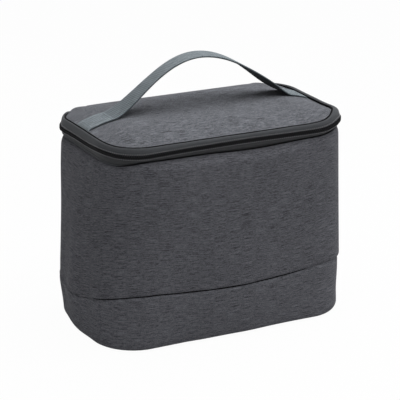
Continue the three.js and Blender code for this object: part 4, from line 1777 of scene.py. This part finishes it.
@dataclass
class ZipSlider:
    """The slider that closes the zip, its bail and its pull tab."""

    enamel: Material
    plate: float = 1.1 * MM
    flange: float = 0.8 * MM
    flange_lip: float = 2.4 * MM
    post: Pair = (1.0 * MM, 2.0 * MM)
    sunk: float = 0.2 * MM
    bail_sunk: float = 0.3 * MM
    corner: float = 2.6 * MM
    softening: float = 0.25 * MM
    bail_wire: float = 1.3 * MM
    bail_corner: float = 1.5 * MM
    bail_softening: float = 0.35 * MM
    flange_inset: float = 0.8
    tab_round: float = 0.98
    window: Pair = (1.8 * MM, 5.0 * MM)
    bar: float = 0.6 * MM
    hole: float = 3.2 * MM

    def build(self) -> None:
        """Makes and dresses the pieces."""
        self.body()
        self.bail()
        self.pull()

    def soften(self, piece: Piece, width: float) -> None:
        """Rounds the remaining sharp edges of a piece."""
        Workbench.soften(piece, width, segments=3, degrees=40.0)
        Workbench.smooth(piece, degrees=35.0)

    def body(self) -> None:
        """Two plates joined by a post, with flanges that reach round the teeth."""
        low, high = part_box("slider_body")
        outer = Workbench.block("slider_shell", (high.x - self.plate, low.y, low.z), high)
        inner = Workbench.block("inner_plate", low, (low.x + self.plate, high.y, high.z))
        for plate in (outer, inner):
            Workbench.bevel_edges(plate, lambda a, b: abs(a.x - b.x) > LONG_EDGE, self.corner, 5)
        middle = (low.z + high.z) / 2
        width, length = self.post
        sunk = self.sunk
        post = Workbench.block(
            "post",
            (low.x + sunk, high.y - length, middle - width / 2),
            (high.x - sunk, high.y - sunk, middle + width / 2),
        )
        Workbench.combine(outer, inner, "UNION")
        Workbench.combine(outer, post, "UNION")
        inset = self.corner * self.flange_inset
        for z_low, z_high in ((low.z, low.z + self.flange), (high.z - self.flange, high.z)):
            flange = Workbench.block(
                "flange",
                (high.x - self.flange_lip, low.y + inset, z_low),
                (high.x - self.bail_sunk, high.y - inset, z_high),
            )
            Workbench.combine(outer, flange, "UNION")
        self.soften(outer, self.softening)
        dress(outer, self.enamel, Slot.METAL, ["slider_body"], Body.SLIDER)

    def bail(self) -> None:
        """A bridge over the outer plate that holds the pull tab's bar."""
        low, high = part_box("slider_bail")
        bail = Workbench.block("slider_bridge", (low.x - self.bail_sunk, low.y, low.z), high)
        wire = self.bail_wire
        opening = Workbench.block(
            "opening",
            (low.x - MM, low.y + wire, low.z - MM),
            (high.x - wire, high.y - wire, high.z + MM),
        )
        Workbench.bevel_edges(
            bail, lambda a, b: abs(a.z - b.z) > LONG_EDGE and min(a.x, b.x) > low.x, self.bail_corner, 5
        )
        Workbench.combine(bail, opening, "DIFFERENCE")
        self.soften(bail, self.bail_softening)
        dress(bail, self.enamel, Slot.METAL, ["slider_bail"], Body.SLIDER)

    def pull(self) -> None:
        """A rounded tab with a window round the bail and a small hole near its end."""
        low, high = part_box("pull_tab")
        middle = (low.z + high.z) / 2
        half = (high.z - low.z) / 2
        tab = Workbench.block("pull_plate", low, high)
        Workbench.bevel_edges(
            tab,
            lambda a, b: abs(a.x - b.x) > LONG_EDGE and max(a.y, b.y) < low.y + MM,
            half * self.tab_round,
            8,
        )
        half_window, window_end = self.window
        window = Workbench.block(
            "window",
            (low.x - MM, high.y - 2 * self.bar - window_end, middle - half_window),
            (high.x + MM, high.y - 2 * self.bar, middle + half_window),
        )
        Workbench.combine(tab, window, "DIFFERENCE")
        drill = {"vertices": 24, "radius": self.hole / 2, "depth": 4 * MM}
        hole = Workbench.added("hole", bpy.ops.mesh.primitive_cylinder_add, **drill)
        with Workbench.editing(hole):
            bpy.ops.transform.rotate(value=QUARTER, orient_axis="Y", center_override=(0.0, 0.0, 0.0))
            bpy.ops.transform.translate(value=((low.x + high.x) / 2, low.y + half, middle))
        Workbench.combine(tab, hole, "DIFFERENCE")
        self.soften(tab, self.softening)
        dress(tab, self.enamel, Slot.METAL, ["pull_tab"], Body.PULL)


@dataclass
class CarryHandle:
    """The webbing handle: sewn flat at both ends, with a free arch that twists a little."""

    form: BagForm
    webbing: Material
    thread: Material
    width: float = 25 * MM
    thickness: float = 1.9 * MM
    offset: float = 5 * MM
    lean: float = 5.6 * MM
    setback: float = 2.5 * MM
    sewn: float = 24 * MM
    rise: float = 47.4 * MM
    arch_powers: Pair = (1.72, 1.4)
    twists: tuple[Pair, ...] = (
        (-1, 0),
        (-0.45, 9.3),
        (0.3, -0.3),
        (0.45, -0.5),
        (0.78, 6.3),
        (1, 0),
    )
    tucked: float = 1.2 * MM
    taken_in: float = 2.0
    tuck_depth: float = 2.0 * MM
    tuck_run: float = 3.6 * MM
    end_fall: float = 0.3
    ribs: int = 10
    rib_depth: float = 0.22 * MM
    selvedge: float = 1.0 * MM
    across_steps: int = 60
    # Shift of the underside's cloth distances, by which the webbing finds it and paints it with shade
    shaded_underside_shift: float = 100 * MM
    along_step: float = 1.8 * MM
    free_from: float = 45 * MM
    stitch: Triple = (2.0 * MM, 0.6 * MM, 0.5 * MM)
    stitch_pitch: float = 2.7 * MM
    stitch_margin: float = 2.2 * MM
    near_margin: float = 0.3

    @property
    def end_x(self) -> float:
        """Distance of the strap's left end from the middle of the bag."""
        form = self.form
        return form.lid_width / 2 - form.seam_inset - form.fit_gap - self.setback + self.tucked

    def end_at(self, side: float) -> float:
        """Distance of the strap's end from the middle of the bag: left below zero, right above."""
        return self.end_x - (self.taken_in * self.form.seam_shift(self.end_x) if side > 0 else 0.0)

    @property
    def lift_x(self) -> float:
        """Distance at which the strap leaves the lid."""
        return self.end_x - self.tucked - self.sewn

    def level(self, x: float) -> float:
        """Underside of the strap at a distance along the bag's width."""
        form = self.form
        distance = abs(x)
        if distance >= self.lift_x:
            tuck = self.tuck_depth * ease((distance - self.end_at(x) + self.tuck_run) / self.tuck_run)
            tuck += self.end_fall * (form.seam_shift(x) - form.seam_shift(self.lift_x)) if x > 0 else 0.0
            return form.lid_top(form.lid_width / 2 - distance) + form.fit_gap - tuck
        lift = form.lid_top(form.lid_width / 2 - self.lift_x) + form.fit_gap
        power = self.arch_powers[0 if x < 0 else 1]
        return lift + self.rise * (1 - (distance / self.lift_x) ** 2) ** power

    def twist(self, share: float) -> float:
        """The strap's twist at a share of the way from the middle to where it leaves the lid."""
        for (before, held), (after, reached) in zip(self.twists, self.twists[1:]):
            if before <= share <= after:
                turn = held + (reached - held) * ease((share - before) / (after - before))
                return math.radians(turn)
        return 0.0

    def axes(self, x: float) -> tuple[Vector, Vector, Vector, Vector]:
        """The strap's underside at a distance: its middle, and the ways along, across and up from it."""
        ahead = 0.2 * MM
        run = Vector((2 * ahead, 0.0, self.level(x + ahead) - self.level(x - ahead))).normalized()
        share = x / self.lift_x
        across = Matrix.Rotation(-self.twist(share), 3, run) @ Vector((0.0, 1.0, 0.0))
        y = self.offset + self.lean * max(0.0, 1 - share**2)
        return Vector((x, y, self.level(x))), run, across, run.cross(across)

    def half_thickness(self, place: float) -> float:
        """Half the strap's thickness at a place across it, with its ribs and its rounded selvedge."""
        past = max(0.0, abs(place) - self.width / 2 + self.selvedge) / self.selvedge
        rib = self.width / self.ribs
        groove = self.rib_depth * (1 - abs(math.sin(math.pi * (place + self.width / 2) / rib)))
        return (self.thickness / 2 - groove) * math.sqrt(max(0.0, 1 - past**2))

    def build(self) -> None:
        """Makes and dresses the pieces."""
        for name, sign in (("left", -1), ("right", 1)):
            self.half(name, sign)
            self.stitching(name, sign)

    def half(self, name: str, sign: int) -> None:
        """Half of the strap, from its sewn end to the middle of the arch.

        Args:
            name: The side of the bag.
            sign: -1 on the left and 1 on the right.
        """
        steps = math.ceil(self.end_x / self.along_step)
        places = [sign * x for x in spread(self.end_at(sign), 0.0, steps)]
        lengths = running([(x, self.level(x)) for x in places])
        across = spread(-self.width / 2, self.width / 2, self.across_steps)
        loop = [(w, 1) for w in across] + [(w, -1) for w in across[-2:0:-1]] + [(across[0], 1)]

        def place(i: int, j: int) -> Laid:
            """A point of the strap's surface and its distances along the webbing."""
            middle, _, side, up = self.axes(places[j])
            w, face = loop[i]
            height = self.thickness / 2 + face * self.half_thickness(w)
            # The underside's cloth distances are shifted so that the webbing can paint it with shade
            shaded_underside = 0.0 if face > 0 else self.shaded_underside_shift
            return middle + side * w + up * height, (lengths[j], w + self.width / 2 + shaded_underside)

        strap = Workbench.laid_grid(f"handle_strap_{name}", len(loop) - 1, steps, place, closed=True)
        with Workbench.editing(strap):
            bpy.ops.mesh.fill_holes(sides=0)
            bpy.ops.mesh.normals_make_consistent(inside=False)
        Workbench.smooth(strap, degrees=60.0)
        nodes = [f"handle_end_{name}", f"handle_leg_{name}", "handle_grip"]
        dress(strap, self.webbing, Slot.WEBBING, nodes)
        start = Vector((sign * self.lift_x, 0.0, 0.0))
        end = Vector((sign * self.free_from, 0.0, 0.0))
        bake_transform(strap)

    def stitching(self, name: str, sign: int) -> None:
        """The box of stitches that holds one end of the strap."""
        margin = self.stitch_margin
        reach = self.width / 2 - margin
        near = self.lift_x - margin * self.near_margin
        far = self.end_at(sign) - margin
        frames = []
        for x in (near, far):
            count = round(2 * reach / self.stitch_pitch)
            frames += [self.stitch_frame(sign * x, w, True) for w in spread(-reach, reach, count)]
        count = round((far - near) / self.stitch_pitch)
        for w in (-reach, reach):
            frames += [self.stitch_frame(sign * x, w, False) for x in spread(near, far, count)[1:-1]]
        for tilt in (-1, 1):
            places = zip(spread(near, far, count)[1:-1], spread(-reach * tilt, reach * tilt, count)[1:-1])
            frames += [self.stitch_frame(sign * x, w, False) for x, w in places]
        line = Workbench.scatter(f"handle_stitches_{name}", Workbench.bead(*self.stitch), frames)
        dress(line, self.thread, Slot.WEBBING, (), Body.LID)

    def stitch_frame(self, x: float, place: float, crosswise: bool) -> Matrix:
        """Where a stitch lies on the strap's top; a crosswise one runs across the strap."""
        middle, run, side, up = self.axes(x)
        ways = (side, -run, up) if crosswise else (run, side, up)
        height = self.thickness / 2 + self.half_thickness(place)
        return framed(ways, middle + side * place + up * height)


@dataclass
class InsideLining:
    """The lining of the body and of the lid, and the bindings that cover their edges."""

    form: BagForm
    film: Material
    tape: Material
    step: float = 4 * MM
    wall_ripple: Ripple = Ripple(0.7 * MM, (26 * MM, 26 * MM, 60 * MM), 8.0)
    flat_ripple: Ripple = Ripple(0.3 * MM, (34 * MM, 34 * MM, 34 * MM), 4.0)
    facing_ripple: Ripple = Ripple(0.2 * MM, (20 * MM, 20 * MM, 20 * MM), 6.0)
    film_edge: float = 0.1 * MM
    facing_edge: float = 0.15 * MM
    wall_film: float = 0.6
    flat_film: float = 0.7
    mouth_cloth: float = 0.7
    lid_cloth: float = 0.6
    lap_dip: Pair = (0.3 * MM, 0.5 * MM)
    tape_clearance: float = 0.4 * MM
    facing_leg: float = 7 * MM
    facing_foot: float = 4 * MM
    facing_turn: float = 1.2 * MM
    facing_lap: float = 4.4 * MM

    def build(self) -> None:
        """Makes and dresses the pieces."""
        self.wall_lining()
        self.flat_lining("base_lining", "liner_base", Body.BAG, 1)
        self.flat_lining("lid_lining", "lid_liner", Body.LID, -1)
        self.mouth_facing()
        self.lid_facing()

    def wall_lining(self) -> None:
        """The lining of the walls, seen from inside."""
        form = self.form
        low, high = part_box("liner_wall")
        rows = math.ceil((high.z - low.z) / self.step)
        profile = [(form.liner_inset, level) for level in spread(low.z, high.z, rows)]
        stations = form.round_stations(self.step)
        lining = Workbench.sheet("wall_lining", form, stations, profile, closed=True)
        self.wall_ripple.lift(lining)
        Workbench.thicken(lining, form.liner * self.wall_film, self.film_edge)
        dress(lining, self.film, Slot.LINER, ["liner_wall"], Body.BAG)
        girth = form.round_length - TAU * form.liner_inset

    def flat_lining(self, name: str, node: str, body: Body, facing: int) -> None:
        """A flat lining with round corners.

        Args:
            name: Name of the piece.
            node: The node that it stands for.
            body: The body that it rides on.
            facing: 1 if it is seen from above, -1 from below.
        """
        low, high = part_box(node)
        radius = self.form.corner_radius - self.form.liner_inset
        level = high.z if facing > 0 else low.z
        lining = Workbench.plate(
            name, self.form, (low, high), self.step, radius, lambda x, y: level, mirrored=facing < 0
        )
        self.flat_ripple.lift(lining)
        Workbench.thicken(lining, (high.z - low.z) * self.flat_film, self.film_edge)
        dress(lining, self.film, Slot.LINER, [node], body)
        flat = (high.x - low.x, high.y - low.y)
        area = flat[0] * flat[1] - (4 - math.pi) * radius**2

    def mouth_facing(self) -> None:
        """The binding over the top of the wall's padding, from the zip tape to the lining."""
        form = self.form
        _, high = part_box("mouth_binding")
        outer = form.fabric + form.fit_gap + form.tape + self.tape_clearance
        inner = form.liner_inset + form.liner + form.fit_gap + form.binding
        foot = [(outer, high.z - self.facing_foot)]
        over = bezier((outer, high.z), ((outer + inner) / 2, high.z + self.facing_turn), (inner, high.z), 6)
        leg = [(inner, level) for level in spread(high.z, high.z - self.facing_leg, 4)]
        profile = foot + over + leg[1:]
        stations = form.round_stations(self.step)
        facing = Workbench.sheet("mouth_facing", form, stations, profile, closed=True)
        self.facing_ripple.lift(facing)
        Workbench.thicken(facing, form.binding * self.mouth_cloth, self.facing_edge)
        dress(facing, self.tape, Slot.BINDING, ["mouth_binding"], Body.BAG)

    def lid_facing(self) -> None:
        """The binding round the edge of the lid's lining."""
        form = self.form
        low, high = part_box("lid_binding")
        outer = form.lid_width / 2 - high.x
        turn = low.z + self.facing_turn
        inner = (outer + self.facing_lap, low.z - self.lap_dip[0])
        profile = bezier(inner, (outer, low.z - self.lap_dip[1]), (outer, turn), 6)
        profile += [(outer, level) for level in spread(turn, high.z, 2)[1:]]
        stations = form.round_stations(self.step)
        facing = Workbench.sheet("lid_facing", form, stations, profile, closed=True)
        Workbench.thicken(facing, form.binding * self.lid_cloth, self.facing_edge)
        dress(facing, self.tape, Slot.BINDING, ["lid_binding"], Body.LID)


@dataclass
class Padding:
    """The foam inside the walls, base and lid, and the stiffener of the base."""

    form: BagForm
    foam: Material
    board: Material
    step: float = 6 * MM
    lid_foam: float = 3.4 * MM
    wall_foam: float = 0.95

    def build(self) -> None:
        """Makes and dresses the pieces."""
        form = self.form
        self.wall("wall_padding", form.stations(self.step), "wall_foam")
        ends = (form.wrap_length + form.fit_gap, form.round_length - form.fit_gap)
        self.wall("back_padding", form.stations(self.step, *ends), "back_foam")
        self.slab("base_padding", "base_foam", self.foam, Slot.FOAM, Body.BAG)
        self.slab("base_stiffener", "base_board", self.board, Slot.BOARD, Body.BAG)
        self.slab("lid_padding", "lid_foam", self.foam, Slot.FOAM, Body.LID)

    def wall(self, name: str, stations: list[float], node: str) -> None:
        """Foam of part of the wall, rounded under at its lower edge."""
        form = self.form
        radius = form.roll_inset - form.foam_inset
        last = math.acos((radius - form.foam) / radius)
        roll = [
            (form.roll_inset - radius * math.cos(angle), form.roll_level - radius * math.sin(angle))
            for angle in spread(last, 0.0, 4)
        ]
        rows = math.ceil((form.padding_top - form.roll_level) / self.step)
        upright = [(form.foam_inset, level) for level in spread(form.roll_level, form.padding_top, rows)]
        pad = Workbench.sheet(name, form, stations, roll + upright[1:])
        thickness = form.foam * self.wall_foam
        Workbench.modify(pad, "SOLIDIFY", thickness=thickness, offset=-1.0, use_even_offset=False)
        Workbench.smooth(pad)
        dress(pad, self.foam, Slot.FOAM, [node], Body.BAG)

    def slab(self, name: str, node: str, finish: Material, slot: Slot, body: Body) -> None:
        """A flat or crowned slab with round corners, in the space of a node."""
        form = self.form
        low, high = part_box(node)
        crowned = node == "lid_foam"
        radius = form.corner_radius - form.liner_inset
        under = form.fabric + 4 * form.fit_gap

        def level(x: float, y: float) -> float:
            """Level of the slab's top at a point of the plan."""
            top = form.lid_top(form.lid_inset(x, y)) + form.droop(x, y, form.rim_height)
            return top - under if crowned else high.z

        slab = Workbench.plate(name, form, (low, high), self.step, radius, level)
        Workbench.thicken(slab, self.lid_foam if crowned else high.z - low.z)
        dress(slab, finish, slot, [node], body)


@dataclass(frozen=True)
class Lamp:
    """A soft studio lamp that looks at the bag."""

    name: str
    place: Triple
    side: float
    watts: float

    def build(self, target: Vector) -> None:
        """Adds the lamp, turned towards a point."""
        data = bpy.data.lights.new(self.name, "AREA")
        data.energy = self.watts
        data.size = self.side
        lamp = bpy.data.objects.new(self.name, data)
        lamp.location = self.place
        lamp.rotation_euler = (target - lamp.location).to_track_quat("-Z", "Y").to_euler()
        bpy.context.scene.collection.objects.link(lamp)


@dataclass
class Studio:
    """The floor, the light and the camera."""

    azimuth: float = -28.21
    elevation: float = 19.53
    roll: float = 0.88
    distance: float = 1.781
    focal_pixels: float = 1838.0
    target: Triple = (0.05 * MM, 0.0, 112.7 * MM)
    ambient: float = 0.155
    floor_bounce: float = 0.70
    floor_white: float = 0.97
    floor_shade: float = 0.95
    floor_side: float = 6.0
    sensor: float = 36.0
    lamps: tuple[Lamp, ...] = (
        Lamp("overhead_softbox", (0.25, -0.1, 1.4), 1.5, 18.0),
        Lamp("right_softbox", (1.3, -0.6, 0.6), 0.8, 2.0),
        Lamp("left_softbox", (-1.3, -0.3, 0.5), 0.8, 0.4),
    )

    def build(self) -> None:
        """Sets the studio up."""
        bpy.context.scene.view_settings.view_transform = "Standard"
        self.floor()
        self.world()
        for lamp in self.lamps:
            lamp.build(Vector(self.target))
        self.camera()

    def seen(self, graph: FinishGraph) -> Field:
        """1 for rays that show the background to the camera, directly, mirrored or through glass."""
        kinds = ("Camera", "Glossy", "Transmission")
        rays = [graph.node("ShaderNodeLightPath", {}, {}, f"Is {kind} Ray") for kind in kinds]
        return (rays[0] + rays[1] + rays[2]).limited()

    def floor(self) -> None:
        """A pale floor, which keeps the bag's shadow."""
        floor = Workbench.added("studio_floor", bpy.ops.mesh.primitive_plane_add, size=self.floor_side)
        graph = FinishGraph.material("studio_floor")
        seen = self.seen(graph)
        shade = self.floor_bounce + seen * (self.floor_shade - self.floor_bounce)
        colour = graph.node("ShaderNodeCombineColor", {}, {0: shade, 1: shade, 2: shade})
        matt = graph.node("ShaderNodeBsdfDiffuse", {}, {"Color": colour})
        white = graph.node("ShaderNodeEmission", {}, {"Strength": 1.0})
        mixed = graph.node("ShaderNodeMixShader", {}, {0: seen * self.floor_white, 1: matt, 2: white})
        floor.data.materials.append(graph.end(mixed))

    def world(self) -> None:
        """Even light from all round, white where the camera sees it."""
        world = bpy.data.worlds.new("studio")
        bpy.context.scene.world = world
        graph = FinishGraph(world)
        strength = self.ambient + self.seen(graph) * (1.0 - self.ambient)
        inputs = {"Color": (1.0, 1.0, 1.0, 1.0), "Strength": strength}
        graph.end(graph.node("ShaderNodeBackground", {}, inputs))

    def camera(self) -> None:
        """The camera at the photograph's angle, with its slight roll."""
        a, e, r = (math.radians(angle) for angle in (self.azimuth, self.elevation, self.roll))
        back = Vector((math.sin(a) * math.cos(e), -math.cos(a) * math.cos(e), math.sin(e)))
        right = Vector((math.cos(a), math.sin(a), 0.0))
        up = back.cross(right)
        rolled_right = right * math.cos(r) + up * math.sin(r)
        rolled_up = up * math.cos(r) - right * math.sin(r)
        data = bpy.data.cameras.new("photo_camera")
        data.sensor_width = self.sensor
        data.lens = self.sensor * self.focal_pixels / IMAGE_SIDE
        camera = bpy.data.objects.new("photo_camera", data)
        place = Vector(self.target) + back * self.distance
        camera.matrix_world = framed((rolled_right, rolled_up, back), place)
        bpy.context.scene.collection.objects.link(camera)
        bpy.context.scene.camera = camera


def main() -> None:
    """Builds the studio and dresses the bag, piece by piece."""
    logging.basicConfig(level=logging.INFO, format="%(name)s: %(message)s")
    form = BagForm()
    canvas = MelangeCanvas().material()
    # A lighter copy of the canvas: painted light on the band, for the light it gets from below
    band_canvas_painted_light = MelangeCanvas("band_canvas_painted_light", (0.0565, 0.0572, 0.0645), (0.236, 0.239, 0.267)).material()
    tape = WovenTape().material()
    # A darker copy of the tape's finish: painted shade on the lower tape below the chain
    tape_painted_shade = WovenTape("lower_tape_painted_shade", (0.033, 0.034, 0.036), (0.084, 0.086, 0.091)).material()
    Studio().build()
    BodyFabric(form, canvas, band_canvas_painted_light).build()
    # A lighter copy of the canvas for the lid: painted light, for the light that falls on its top
    lid_painted_light_tones = ((0.0595, 0.0620, 0.0690), (0.248, 0.258, 0.286))
    LidFabric(form, MelangeCanvas("lid_canvas_painted_light", *lid_painted_light_tones, vigour=1.75).material()).build()
    pale_thread = SewingThread("zip_thread", (0.21, 0.21, 0.225), (0.48, 0.48, 0.505)).material()
    ZipChain(form, tape, NylonCoil().material(), pale_thread, tape_painted_shade).build()
    # Near-black cords that paint the shadow in the seams
    seam_shadow_tones = ((0.004, 0.004, 0.005), (0.012, 0.012, 0.013))
    SeamShadowCords(form, SewingThread("seam_shadow_black", *seam_shadow_tones, gloss=0.05).material()).build()
    ZipSlider(EnamelledZinc().material()).build()
    strap_thread = SewingThread("handle_thread", (0.26, 0.30, 0.32), (0.50, 0.55, 0.58)).material()
    CarryHandle(form, RibbedWebbing().material(), strap_thread).build()
    InsideLining(form, LinerFilm().material(), WovenTape("binding_weave").material()).build()
    Padding(form, FoamSheet().material(), StiffenerSheet().material()).build()


if __name__ == "__main__":
    main()
